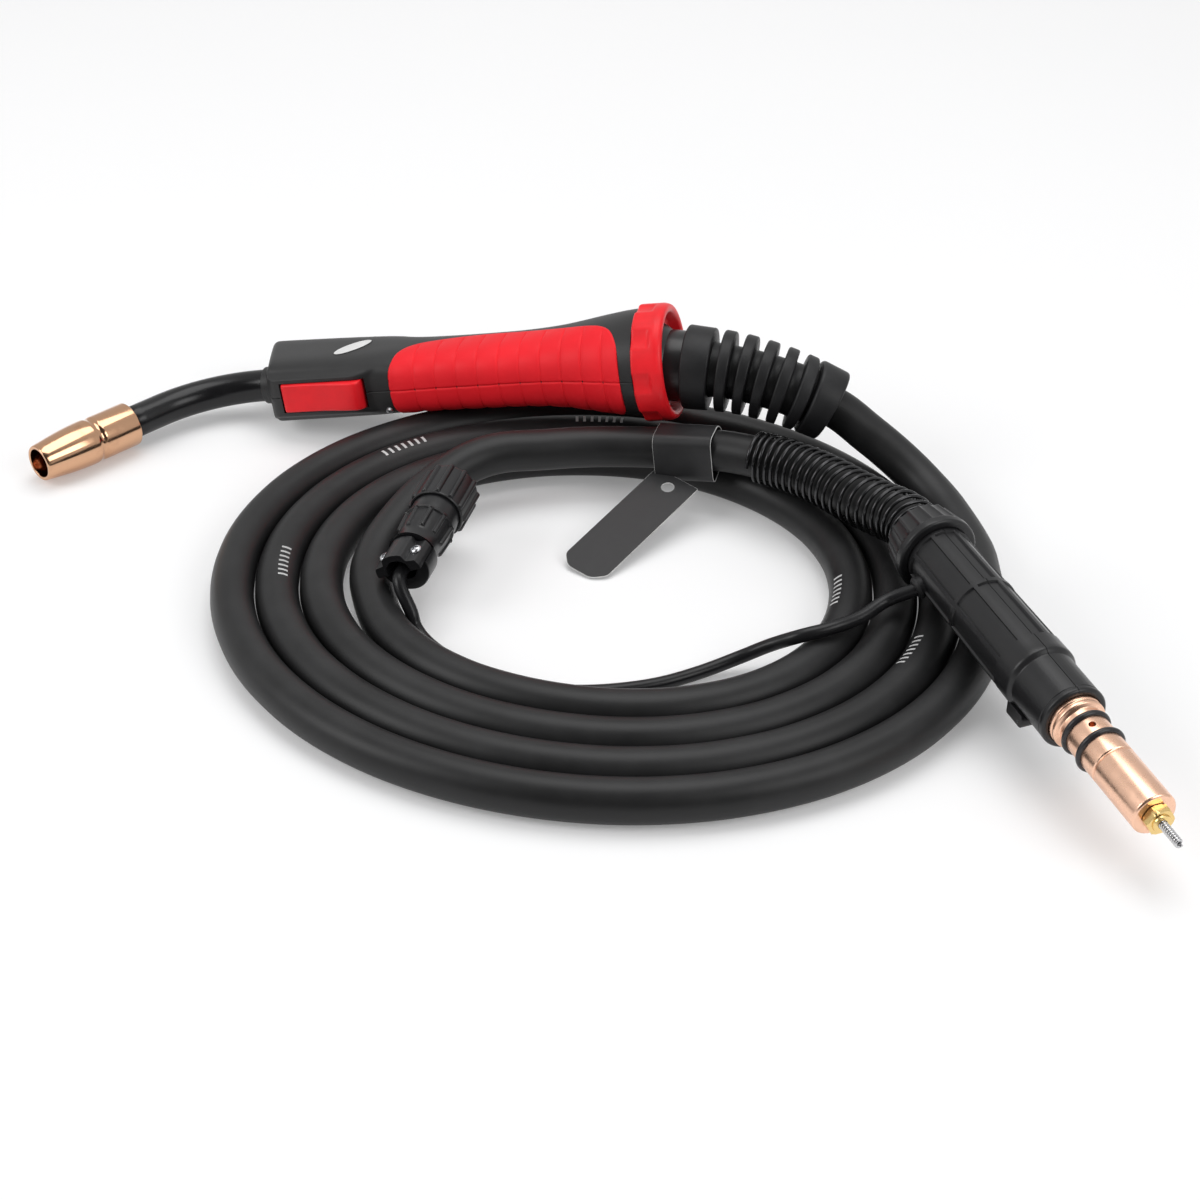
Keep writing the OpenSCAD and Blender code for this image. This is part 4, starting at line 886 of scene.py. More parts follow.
def prism(name: str, place: Place, outline: Line, low: float, high: float) -> Piece:
    """A slab with an outline in the place's x and y and flat faces at two heights, in millimetres.

    Args:
        name: the piece's name.
        place: where it stands.
        outline: closed outline.
        low: lower face along the place's z.
        high: upper face.

    Returns:
        The mesh object.
    """
    return skin(name, [[place.mm(x, y, z) for x, y in outline] for z in (low, high)], smooth_below=30)


def rod(name: str, place: Place, radius: float, low: float, high: float, sides: int = 32) -> Piece:
    """A plain rod along a place's z axis, in millimetres, that other pieces are cut with."""
    turns = [2 * math.pi * k / sides for k in range(sides)]
    return prism(name, place, [(radius * math.cos(t), radius * math.sin(t)) for t in turns], low, high)


def cut(piece: Piece, *tools: Piece, smooth_below: float = 35.0) -> Piece:
    """Cuts tools out of a piece for good and removes the tools.

    Args:
        piece: the piece that is cut.
        tools: closed bodies.
        smooth_below: degrees below which an edge is shaded smooth.

    Returns:
        The piece.
    """
    for tool in tools:
        step = piece.modifiers.new(tool.name, "BOOLEAN")
        step.operation = "DIFFERENCE"
        step.solver = "EXACT"
        step.object = tool
    graph = bpy.context.evaluated_depsgraph_get()
    mesh = bpy.data.meshes.new_from_object(piece.evaluated_get(graph))
    piece.modifiers.clear()
    piece.data = mesh
    shade_smooth(mesh, smooth_below)
    for tool in tools:
        bpy.data.objects.remove(tool)
    return piece


def fit_out(piece: Piece, finish: Finish, body: Body, *nodes: str) -> Piece:
    """Dresses a piece, mounts it on a body and lets it stand for nodes.

    Args:
        piece: the new piece.
        finish: its finish.
        body: the body that carries it.
        nodes: the nodes that it replaces.

    Returns:
        The same piece.
    """
    finish.dress(piece)
    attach(piece, body.value)
    if nodes:
        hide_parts(*nodes)
    log.info("%s built", piece.name)
    return piece


def soft_least(a: float, b: float, width: float) -> float:
    """Smaller of two values with a rounded change."""
    near = max(width - abs(a - b), 0.0) / width
    return min(a, b) - near * near * width / 4


def soft_most(a: float, b: float, width: float) -> float:
    """Larger of two values with a rounded change."""
    return -soft_least(-a, -b, width)


def bevel(piece: Piece, width_mm: float) -> Piece:
    """Rounds a piece's sharp edges.

    Args:
        piece: the piece.
        width_mm: width of the rounding.

    Returns:
        The piece.
    """
    step = piece.modifiers.new("rounding", "BEVEL")
    step.width = width_mm / 1000
    step.segments = 3
    step.limit_method = "ANGLE"
    step.angle_limit = math.radians(35)
    return piece


# ---------------- cables
@dataclass
class PowerCable:
    """The power cable from the knuckle through the coil to the plug."""

    diameter: float = 0.016
    knuckle_reach: float = 0.0264
    in_plug: float = -0.009
    coil: Coil = field(default_factory=Coil)

    def tail_start(self) -> np.ndarray:
        """Where the cable leaves the knuckle."""
        return BALL + self.knuckle_reach * TAIL_RUN

    def end_points(self) -> List[np.ndarray]:
        """Points from the coil to the plug."""
        return [*END_ROUTE, PLUG.point(self.in_plug, 0, 0)]

    def route(self) -> Route:
        """The whole line as one route."""
        wound = self.coil.points(self.diameter)
        return Route([self.tail_start(), *TAIL_ROUTE[2:], *wound, *self.end_points()])

    def end_path(self) -> Route:
        """The stretch from the coil to the plug."""
        return Route([self.coil.points(self.diameter)[-1], *self.end_points()])

    def build(self) -> Piece:
        """Makes the cable.

        Returns:
            The curve object.
        """
        piece = self.route().tube("power_cable", self.diameter)
        stands_for = ("cable_tail", "cable_coil", "cable_end")
        return fit_out(piece, CABLE_RUBBER, Body.ROOT, *stands_for)


@dataclass
class ControlLead:
    """The thin lead from the plug housing to the control plug."""

    diameter: float = 0.005
    exit_reach: float = 0.013
    straight: float = 0.0012
    sag: float = 0.0016
    clamp_x: float = -0.0015
    end_x: float = 0.009

    def exit(self) -> np.ndarray:
        """Where the lead leaves its grommet."""
        return LEAD_EXIT.point(self.exit_reach, 0, 0)

    def route(self) -> Route:
        """The lead's line."""
        start = self.exit()
        entry = CONTROL.point(self.clamp_x, 0, 0) - np.array((0, 0, self.sag))
        ahead = start + self.straight * np.array(LEAD_EXIT.x)
        return Route([start, ahead, *LEAD_ROUTE, entry, CONTROL.point(self.end_x, 0, 0)])

    def build(self) -> Piece:
        """Makes the lead.

        Returns:
            The curve object.
        """
        piece = self.route().tube("control_lead_run", self.diameter, 6, 10)
        return fit_out(piece, LEAD_RUBBER, Body.ROOT, "control_lead")


@dataclass
class SupportSpring:
    """The wound spring that carries the cable into the plug."""

    wire: float = 0.0015
    curls: int = 23
    inside_free: float = 0.0172
    inside_nut: float = 0.0186
    first: float = 13.1
    before_end: float = 1.38
    end_part: float = 0.1
    end_share: float = 0.075
    per_curl: int = 12

    def run(self, t: float) -> float:
        """Share of the stretch at a share of the curls, whose ends are wound close."""
        if t < self.end_part:
            return t * self.end_share / self.end_part
        if t > 1 - self.end_part:
            return 1 - (1 - t) * self.end_share / self.end_part
        return self.end_share + (1 - 2 * self.end_share) * (t - self.end_part) / (1 - 2 * self.end_part)

    def build(self, path: Route) -> Piece:
        """Winds the spring round the cable's end stretch.

        Args:
            path: the cable's line from the coil to the plug.

        Returns:
            The curve object.
        """
        last = len(path.points) - self.before_end
        points = []
        for k in range(self.curls * self.per_curl + 1):
            t = k / (self.curls * self.per_curl)
            share = self.run(t)
            u = self.first + (last - self.first) * share
            r = (self.inside_free + (self.inside_nut - self.inside_free) * t + self.wire) / 2
            side, up = across(path.heading(u))
            a = 2 * math.pi * k / self.per_curl
            points.append(path.at(u) + r * (math.cos(a) * side + math.sin(a) * up))
        piece = Route(points).tube("support_spring", self.wire, 4, 3)
        return fit_out(piece, SPRING_STEEL, Body.ROOT, "cable_support_spring")


@dataclass
class Boot:
    """The ringed rubber boot that follows the cable out of the knuckle, in millimetres."""

    start: float = 17.3
    sleeve: float = 9.8
    first_gap: float = 3.2
    rings: int = 5
    pitch: float = 7.6
    ring: float = 4.2
    slit: float = 1.4
    cuff: float = 11.0
    front_d: float = 33.0
    back_d: float = 29.0
    core_d: float = 21.0
    cuff_wall: float = 3.0
    bore_r: float = 8.45
    neck_r: float = 9.6
    flange_r: float = 14.2
    route_step: float = 19.8
    sides: int = 72

    def _slab(self, start: float, end: float, rounding: float) -> Line:
        """Profile of one ring with rounded edges."""
        arc = [math.radians(a) for a in (90, 67.5, 45, 22.5, 0)]
        drop = [rounding * (1 - math.sin(a)) for a in arc]
        run = [rounding * (1 - math.cos(a)) for a in arc]
        front = [(start + r, self.radius(start) - d) for r, d in zip(reversed(run), reversed(drop))]
        back = [(end - r, self.radius(end) - d) for r, d in zip(run, drop)]
        return front + back

    def radius(self, x: float) -> float:
        """Outside radius at a distance from the ball."""
        taper = (x - self.start) / (self.total() - self.start)
        return (self.front_d + (self.back_d - self.front_d) * taper) / 2

    def total(self) -> float:
        """Distance of the boot's end from the ball."""
        last = self.start + self.sleeve + self.first_gap + (self.rings - 1) * self.pitch
        return last + self.ring + self.slit + self.cuff

    def profile(self) -> Line:
        """Closed profile of distance and radius."""
        core = self.core_d / 2
        first = self.start + self.sleeve + self.first_gap
        line = self._slab(self.start, self.start + self.sleeve, 0.7)
        line.append((self.start + self.sleeve, core + 0.4))
        for k in range(self.rings):
            x = first + k * self.pitch
            y = x + self.ring
            line += [(x - 0.35, core), (x, core + 0.4), *self._slab(x, y, 0.75)]
            line += [(y, core + 0.4), (y + 0.35, core)]
        end = first + (self.rings - 1) * self.pitch + self.ring + self.slit
        last = end + self.cuff
        line += [(end - 0.2, core), (end, core + 0.3), *self._slab(end, last, 1.3)]
        mouth = self.back_d / 2 - self.cuff_wall
        line += [(last - 0.6, mouth + 0.25), (last - 1.4, mouth), (end + 4.5, mouth - 0.3)]
        line += [(end + 3.4, mouth - 1.4), (end + 3, 8.5)]
        line += [(x, self.bore_r) for x in (first + 2.5 * self.pitch, first + self.pitch, 27.1)]
        line += [(26.7, self.neck_r), (22.6, self.neck_r), (22.3, self.flange_r), (self.start, self.flange_r)]
        return line

    def build(self) -> Piece:
        """Makes the boot along the cable's first stretch.

        Returns:
            The mesh object.
        """
        path = Route([BALL, *TAIL_ROUTE[1:]])
        first = path.points[1] - path.points[0]
        straight = first / np.linalg.norm(first)
        rings = []
        for x, r in self.profile():
            u = x / self.route_step
            centre = path.points[0] + first * u if u < 1 else path.at(u)
            ahead = straight if u < 1.1 else path.heading(u)
            rings.append(circle(centre, *across(ahead), r / 1000, self.sides))
        piece = skin("ringed_boot", rings, closed=True, smooth_below=50)
        return fit_out(piece, BOOT_RUBBER, Body.ROOT, "strain_relief_boot")


# ---------------- handle
def squared_arch(share: float, n: float) -> float:
    """Height of a rounded square of height 1 at a share of its half width; n sets how square it is."""
    return max(0.0, 1 - share ** n) ** (1 / n)


@dataclass
class HandleForm:
    """Outside of the handle with its trigger housing and grip outline, in millimetres.

    Each station is a place along the handle, a half width, the heights of top and belly from the axis, and
    a squareness. The grip line gives the pad's upper edge as places along the handle and heights.
    """

    stations: List[Tuple[float, ...]] = field(default_factory=lambda: [
        (0.0, 12.0, 20.6, 12.2, 5.6), (1.4, 12.8, 21.6, 13.3, 5.6), (12.0, 12.9, 21.8, 13.5, 5.2),
        (44.7, 13.0, 21.4, 14.4, 3.8), (57.0, 13.0, 20.6, 14.9, 2.9), (70.8, 12.8, 19.7, 14.3, 2.9),
        (89.3, 13.0, 19.6, 14.2, 2.8), (106.3, 13.5, 19.8, 14.0, 2.7), (121.7, 15.05, 20.5, 14.8, 2.5),
        (138.6, 18.2, 22.2, 17.9, 2.3), (147.8, 20.1, 22.4, 20.0, 2.15), (154.0, 21.2, 22.0, 21.2, 2.0),
    ])
    grip_line: Line = field(default_factory=lambda: [
        (52.4, -30), (52.6, -16), (53.8, -10.5), (55.2, -5.4), (58.2, -0.8), (63, 2.8), (71, 5.6), (84, 7.9),
        (97.5, 8.1), (110, 6.6), (120, 4.3), (131, 0.4), (139, -3.4), (144, -7.6), (147, -12.4),
        (148.7, -18), (149, -30),
    ])
    front_round: float = 2.2
    shoulder: float = 0.92
    pocket_half: float = 6.3
    pocket: Tuple[float, float] = (6.6, 42.6)
    ceiling: float = -8.7
    housing_face: float = -16.3
    housing_nose: float = 4.5
    housing_nose_end: float = 5.3
    flank_foot: Tuple[float, float] = (11.9, -8.0)
    flank_slope: float = 2.075
    housing_end: float = 40.5
    rear_slope: float = 0.6
    rake_low: float = -8.0
    rake_rise: float = 28.0
    rake_reach: float = 7.4
    rake_end: float = 42.0
    seam: float = 0.05
    seam_depth: float = 0.3

    def __post_init__(self) -> None:
        """Works out the tables that the sections are read from."""
        self.table = Route(self.stations).sampled(0.05)
        self.edge = Route(self.grip_line).sampled(0.04)

    def section(self, x: float) -> Tuple[float, float, float, float]:
        """Half width, half height, middle height and squareness at a place along the handle."""
        w, top, low, n = (float(np.interp(x, self.table[:, 0], self.table[:, k])) for k in (1, 2, 3, 4))
        if x < self.front_round:
            inset = self.front_round - math.sqrt(self.front_round ** 2 - (self.front_round - x) ** 2)
            w, top, low = w - inset, top - inset, low - inset
        return w, (top + low) / 2, (top - low) / 2, n

    def rake(self, x: float, z: float) -> float:
        """Place along the handle after its front is raked forward towards the top."""
        high = clamp((z - self.rake_low) / self.rake_rise)
        near = max(0.0, 1.0 - x / self.rake_end)
        return x - self.rake_reach * high * near * near

    def raked(self, x: float, y: float, z: float) -> np.ndarray:
        """The row point of a point on the raked handle."""
        return TORCH.mm(self.rake(x, z), y, z)

    def lift(self, x: float, y: float) -> float:
        """Height of the plain form above its middle at a distance from the seam."""
        w, h, _, n = self.section(x)
        return h * squared_arch(min(abs(y), w) / w, n)

    def side(self, x: float, z: float) -> float:
        """Distance of the side from the seam at a height."""
        w, h, mid, n = self.section(x)
        return w * squared_arch(min(abs(z - mid), h) / h, n)

    def belly(self, x: float, y: float) -> float:
        """Height of the belly, with the trigger housing, at a distance from the seam."""
        plain = self.section(x)[2] - self.lift(x, y)
        nose = self.housing_nose
        back = min(nose, max(0.0, self.housing_nose_end - x))
        face = self.housing_face + nose - math.sqrt(nose ** 2 - back ** 2)
        flank = self.flank_foot[1] - (self.flank_foot[0] - abs(y)) * self.flank_slope
        rear = self.housing_face + (x - self.housing_end) * self.rear_slope
        house = soft_most(soft_most(face, flank, 1.3), rear, 2.0)
        return soft_least(plain, house, 1.0)

    def outline(self, x: float, pocket: bool = False, seam_cut: bool = True) -> np.ndarray:
        """Points from the top seam round the side to the belly seam.

        Args:
            x: place along the handle.
            pocket: drops the middle of the belly to the trigger pocket's ceiling.
            seam_cut: lays the fine groove along the seam.

        Returns:
            Rows of distance from the seam and height.
        """
        w, h, mid, n = self.section(x)
        wide = self.shoulder * w
        drop = self.seam_depth if seam_cut else 0.0
        points = [(self.seam, mid + self.lift(x, 0) - drop), (0.35, mid + self.lift(x, 0.35))]
        for share in (0.15, 0.3, 0.45, 0.6, 0.72, 0.82, 0.9, 0.96):
            points.append((share * wide, mid + self.lift(x, share * wide)))
        corner = math.acos(self.shoulder ** (n / 2))
        marks = (1, 0.85, 0.7, 0.55, 0.4, 0.27, 0.16, 0.08, 0.03, 0.008)
        for share in [*marks, *[-m for m in reversed(marks)]]:
            c, s = math.cos(share * corner), math.sin(share * corner)
            points.append((w * c ** (2 / n), mid + h * math.copysign(abs(s) ** (2 / n), s)))
        for share in (0.1, 0.2, 0.3, 0.4, 0.5, 0.6, 0.66, 0.72, 0.78, 0.85, 0.93, 1.0):
            y = wide + (self.pocket_half - wide) * share
            points.append((y, self.belly(x, y)))
        for y in (self.pocket_half, 5.2, 3.6, 2.0, 0.9, 0.35):
            points.append((y, self.ceiling if pocket else self.belly(x, y)))
        points.append((self.seam, self.ceiling if pocket else self.belly(x, 0) + drop))
        return np.array(points)


@dataclass
class HandleShell:
    """One moulded half of the handle, in millimetres."""

    form: HandleForm
    half: Half
    socket_r: float = 18.0
    socket_rings: int = 12
    socket_step: float = 7.6

    def rows(self) -> List[Tuple[float, bool]]:
        """Places of the sections and whether each stands in the trigger pocket."""
        start, end = self.form.pocket
        front = [0.0, 0.06, 0.2, 0.45, 0.8, 1.2, 1.7, 2.2, 3.0, 3.8, 4.6, 5.4, start]
        middle = [start, *np.arange(8.0, end, 1.6), end]
        back = [end, *np.arange(43.2, 52.0, 0.7), *np.arange(52.0, 153.5, 1.6), HANDLE_END_MM]
        return [(x, False) for x in front] + [(x, True) for x in middle] + [(x, False) for x in back]

    def build(self) -> Piece:
        """Makes the half with its socket for the swivel ball.

        Returns:
            The mesh object.
        """
        side = self.half.value
        rings = []
        for x, pocket in self.rows():
            rings.append([self.form.raked(x, side * y, z) for y, z in self.form.outline(x, pocket)])
        last = self.form.outline(HANDLE_END_MM)
        for k in range(self.socket_rings):
            deep = math.radians(self.socket_step * k)
            r, x = self.socket_r * math.cos(deep), HANDLE_END_MM - self.socket_r * math.sin(deep)
            turns = [math.atan2(z, y) for y, z in last]
            least = self.form.seam
            rings.append([TORCH.mm(x, side * max(least, r * math.cos(a)), r * math.sin(a)) for a in turns])
        return skin(f"handle_half_{self.half.name.lower()}", rings, smooth_below=38)


@dataclass
class GripPad:
    """One soft red half of the grip with its grooves, in millimetres."""

    form: HandleForm
    half: Half
    proud: float = 0.45
    sunk: float = 0.5
    edge_round: float = 0.9
    first_groove: float = 63.1
    groove_step: float = 8.73
    grooves: int = 10
    groove_depth: float = 0.26
    groove_half: float = 0.32
    bulge: float = 0.34
    seam_depth: float = 0.35
    seam_half: float = 0.28
    thickness: float = 1.1
    least: float = 0.06
    ends: Tuple[float, float] = (52.62, 148.9)
    columns: int = 40

    def rows(self) -> List[float]:
        """Places of the sections, close together at the ends and at the grooves."""
        steps = [0.0, 0.04, 0.1, 0.2, 0.35, 0.55, 0.8, 1.1, 1.5, 2.0, 2.6, 3.4, 4.4]
        start, end = self.ends
        rows = [start + s for s in steps] + [end - s for s in steps] + list(np.arange(58.0, 144.5, 1.3))
        for k in range(self.grooves):
            middle = self.first_groove + k * self.groove_step
            rows += [middle + s for s in (-0.6, -0.36, -0.2, -0.08, 0.08, 0.2, 0.36, 0.6)]
        rows.sort()
        kept = [rows[0]]
        for x in rows[1:]:
            if x - kept[-1] > 0.03:
                kept.append(x)
        return kept

    def _line(self, x: float) -> Tuple[np.ndarray, np.ndarray]:
        """Outline at a section and the length run along it."""
        points = self.form.outline(x, seam_cut=False)
        run = np.concatenate([[0.0], np.cumsum(np.hypot(*np.diff(points, axis=0).T))])
        return points, run

    def _start(self, x: float, z: float) -> float:
        """Length along the outline at which it comes down to a height."""
        points, run = self._line(x)
        return float(np.interp(-z, -points[:, 1], run))

    def height(self, x: float, to_edge: float, to_seam: float) -> float:
        """How far the pad stands off the shell.

        Args:
            x: place along the handle.
            to_edge: distance from the pad's edge.
            to_seam: distance from the seam between the halves.

        Returns:
            The height in millimetres.
        """
        rise = arch(1 - min(to_edge / self.edge_round, 1))
        off = -self.sunk + (self.proud + self.sunk) * rise
        inside = clamp((to_edge - 0.8) / 3.0)
        phase = (x - self.first_groove) / self.groove_step
        if -1 < phase < self.grooves:
            share = phase - math.floor(phase)
            off += inside * self.bulge * (4 * share * (1 - share) - 0.5)
            near = (share - round(share)) * self.groove_step
            if 0 <= round(phase) < self.grooves:
                off -= inside * self.groove_depth * math.exp(-((near / self.groove_half) ** 2))
        return off - self.seam_depth * math.exp(-((to_seam / self.seam_half) ** 2))

    def build(self) -> Piece:
        """Makes the pad.

        Returns:
            The mesh object.
        """
        border = np.array([(x, self._start(x, z)) for x, z in self.form.edge])
        rings = []
        for x in self.rows():
            top = float(np.interp(x, self.form.edge[:, 0], self.form.edge[:, 1]))
            line = self._line(x)
            start, end = self._start(x, top), line[1][-1]
            outer, inner = [], []
            for k in range(self.columns + 1):
                s = start + (end - start) * (1 - math.cos(math.pi * k / self.columns)) / 2
                (y, z), (ny, nz) = self._facing(*line, s)
                to_edge = float(np.min(np.hypot(border[:, 0] - x, border[:, 1] - s)))
                off = self.height(x, to_edge, end - s)
                outer.append((max(self.least, y + off * ny), z + off * nz))
                inner.append((max(self.least, y - self.thickness * ny), z - self.thickness * nz))
            rings.append([TORCH.mm(x, self.half.value * y, z) for y, z in outer + inner[::-1]])
        return skin(f"grip_pad_{self.half.name.lower()}", rings, smooth_below=50)

    @staticmethod
    def _facing(points: np.ndarray, run: np.ndarray, s: float) -> Line:
        """The outline's point at a length along it, and the way it faces there."""
        def at(length: float) -> Tuple[float, float]:
            """Point of the outline at a length."""
            return float(np.interp(length, run, points[:, 0])), float(np.interp(length, run, points[:, 1]))

        after, before = at(min(run[-1], s + 0.3)), at(max(0.0, s - 0.3))
        ty, tz = after[0] - before[0], after[1] - before[1]
        size = math.hypot(ty, tz) or 1.0
        return [at(s), (-tz / size, ty / size)]


@dataclass
class Badge:
    """The plain oval badge on the open side of the handle, in millimetres."""

    form: HandleForm
    middle: Tuple[float, float] = (33.6, 3.1)
    lean: float = 50.3
    long_half: float = 9.2
    short_half: float = 4.0
    sides: int = 64

    def _ring(self, grow: float, off: float) -> List[np.ndarray]:
        """One oval ring laid on the handle's side."""
        points = []
        c, s = math.cos(math.radians(self.lean)), math.sin(math.radians(self.lean))
        for k in range(self.sides):
            a = 2 * math.pi * k / self.sides
            u, v = (self.long_half + grow) * math.cos(a), (self.short_half + grow) * math.sin(a)
            x, z = self.middle[0] + u * c - v * s, self.middle[1] + u * s + v * c
            points.append(self.form.raked(x, -(self.form.side(x, z) + off), z))
        return points

    def build(self) -> List[Piece]:
        """Makes the dark frame and the pale plate.

        Returns:
            The two pieces.
        """
        frame_line = ((0.0, -0.4), (0.0, 0.12), (-0.12, 0.2), (-0.4, 0.2), (-0.45, 0.1), (-0.6, -0.4))
        plate_line = ((-0.42, -0.3), (-0.42, 0.13), (-0.55, 0.2), (-1.2, 0.24), (-2.2, 0.26), (-3.2, 0.27))
        rim = skin("badge_frame", [self._ring(*step) for step in frame_line], closed=True, smooth_below=50)
        plate = skin("badge_plate", [self._ring(*step) for step in plate_line], smooth_below=50)
        return [
            fit_out(rim, HANDLE_PLASTIC, Body.HANDLE),
            fit_out(plate, BADGE_WHITE, Body.HANDLE),
        ]


@dataclass
class Handle:
    """The handle: two moulded halves, the grip pads, the badge and the neck's collar, in millimetres."""

    form: HandleForm = field(default_factory=HandleForm)
    screws: Sequence[Tuple[float, float]] = ((26.0, 15.4), (104.0, 14.2), (128.0, 13.6))
    screw_seat: float = 9.0
    screw_hole: float = 2.9
    grub: Triple = (50.5, 8.4, -12.9)
    grub_hole: float = 1.6

    def _bores(self) -> List[Piece]:
        """Tools that open the screw holes on the floor side."""
        tools = []
        for k, (x, z) in enumerate(self.screws):
            seat = Place.of(TORCH.mm(x, 0, z), TORCH.x, -np.array(TORCH.z), TORCH.y)
            tools.append(rod(f"bore_{k}", seat, self.screw_hole, self.screw_seat, 40.0, 40))
        grub = Place.turned(TORCH.mm(*self.grub), TORCH_TURN @ spin("X", 37))
        tools.append(rod("bore_grub", grub, self.grub_hole, -8.0, 4.0, 24))
        return tools

    def build(self) -> None:
        """Makes every piece of the handle."""
        floor_half = cut(HandleShell(self.form, Half.FLOOR).build(), *self._bores(), smooth_below=38)
        open_half = HandleShell(self.form, Half.OPEN).build()
        pads = [GripPad(self.form, half).build() for half in (Half.FLOOR, Half.OPEN)]
        for shell, pad, side in ((floor_half, pads[0], "left"), (open_half, pads[1], "right")):
            fit_out(shell, HANDLE_PLASTIC, Body.HANDLE, f"handle_shell_{side}")
            fit_out(pad, GRIP_RUBBER, Body.HANDLE, f"grip_{side}")
        Badge(self.form).build()
        Turned("neck_ring", TORCH, [
            (-5.5, 6.6, 0), (-5.5, 7.5, 0.4), (-3.1, 7.5, 0.2), (-3.0, 8.3, 0.3), (0.3, 8.3, 0.1),
            (0.4, 7.5, 0), (2.4, 7.5, 0), (2.4, 6.6, 0),
        ], sides=72).fit(HANDLE_PLASTIC, Body.HANDLE, "neck_collar")


@dataclass
class TriggerLever:
    """The red trigger: a hollow lever with rounded edges, in millimetres."""

    half: float = 6.0
    wall: float = 1.6
    start: float = 7.4
    end: float = 41.4
    nose: float = -17.5
    crown: float = -19.1
    nose_round: float = 1.2
    crown_from: float = 20.0
    rear_round: float = 3.0
    edge_round: float = 1.1
    brim_at: Sequence[float] = (7.4, 13.4, 38.4, 41.4)
    brim_z: Sequence[float] = (-10.3, -9.3, -11.7, -11.7)
    channel: Tuple[float, float] = (14.4, 39.8)
    channel_floor: float = -15.7

    def face(self, x: float) -> float:
        """Height of the finger's face."""
        front, turn = self.start + self.nose_round, self.end - self.rear_round
        if x < front:
            return self.nose + self.nose_round * (1 - arch((front - x) / self.nose_round))
        if x > turn:
            return self.crown + self.rear_round * (1 - arch((x - turn) / self.rear_round))
        rise = eased(clamp((x - self.crown_from) / (turn - self.crown_from)))
        return self.nose + (self.crown - self.nose) * rise

    def brim(self, x: float) -> float:
        """Height of the hidden upper edge."""
        return float(np.interp(x, self.brim_at, self.brim_z))

    def _ring(self, x: float, hollow: bool) -> List[np.ndarray]:
        """One section of the lever."""
        face, brim = self.face(x), self.brim(x)
        line = [(-self.half, brim)]
        for side in (-1, 1):
            arc = range(0, 100, 18) if side < 0 else range(90, -10, -18)
            for a in arc:
                c, s = math.cos(math.radians(a)), math.sin(math.radians(a))
                out, down = self.half - self.edge_round * (1 - c), face + self.edge_round * (1 - s)
                line.append((side * out, down))
        line.append((self.half, brim))
        inside = self.half - self.wall
        low = self.channel_floor if hollow else brim
        line += [(inside, brim), (inside, low), (-inside, low), (-inside, brim)]
        return [TORCH.mm(x, y, z) for y, z in line]

    def build(self) -> Piece:
        """Makes the lever.

        Returns:
            The mesh object.
        """
        a, b = self.channel
        nose = [self.start + s for s in (0.0, 0.03, 0.12, 0.3, 0.55, 0.85, self.nose_round)]
        tail = [self.end - self.rear_round * (1 - math.sin(math.radians(t))) for t in range(0, 91, 9)]
        rows = [(x, False) for x in (*nose, 11.0, a)]
        rows += [(x, True) for x in (a, *np.arange(16.0, 38.4, 1.4), *(x for x in tail if x < b), b)]
        rows += [(x, False) for x in (b, *(x for x in tail if x > b))]
        piece = skin("trigger_lever", [self._ring(x, hollow) for x, hollow in rows], smooth_below=40)
        return fit_out(piece, RED_PLASTIC, Body.TRIGGER, "trigger")


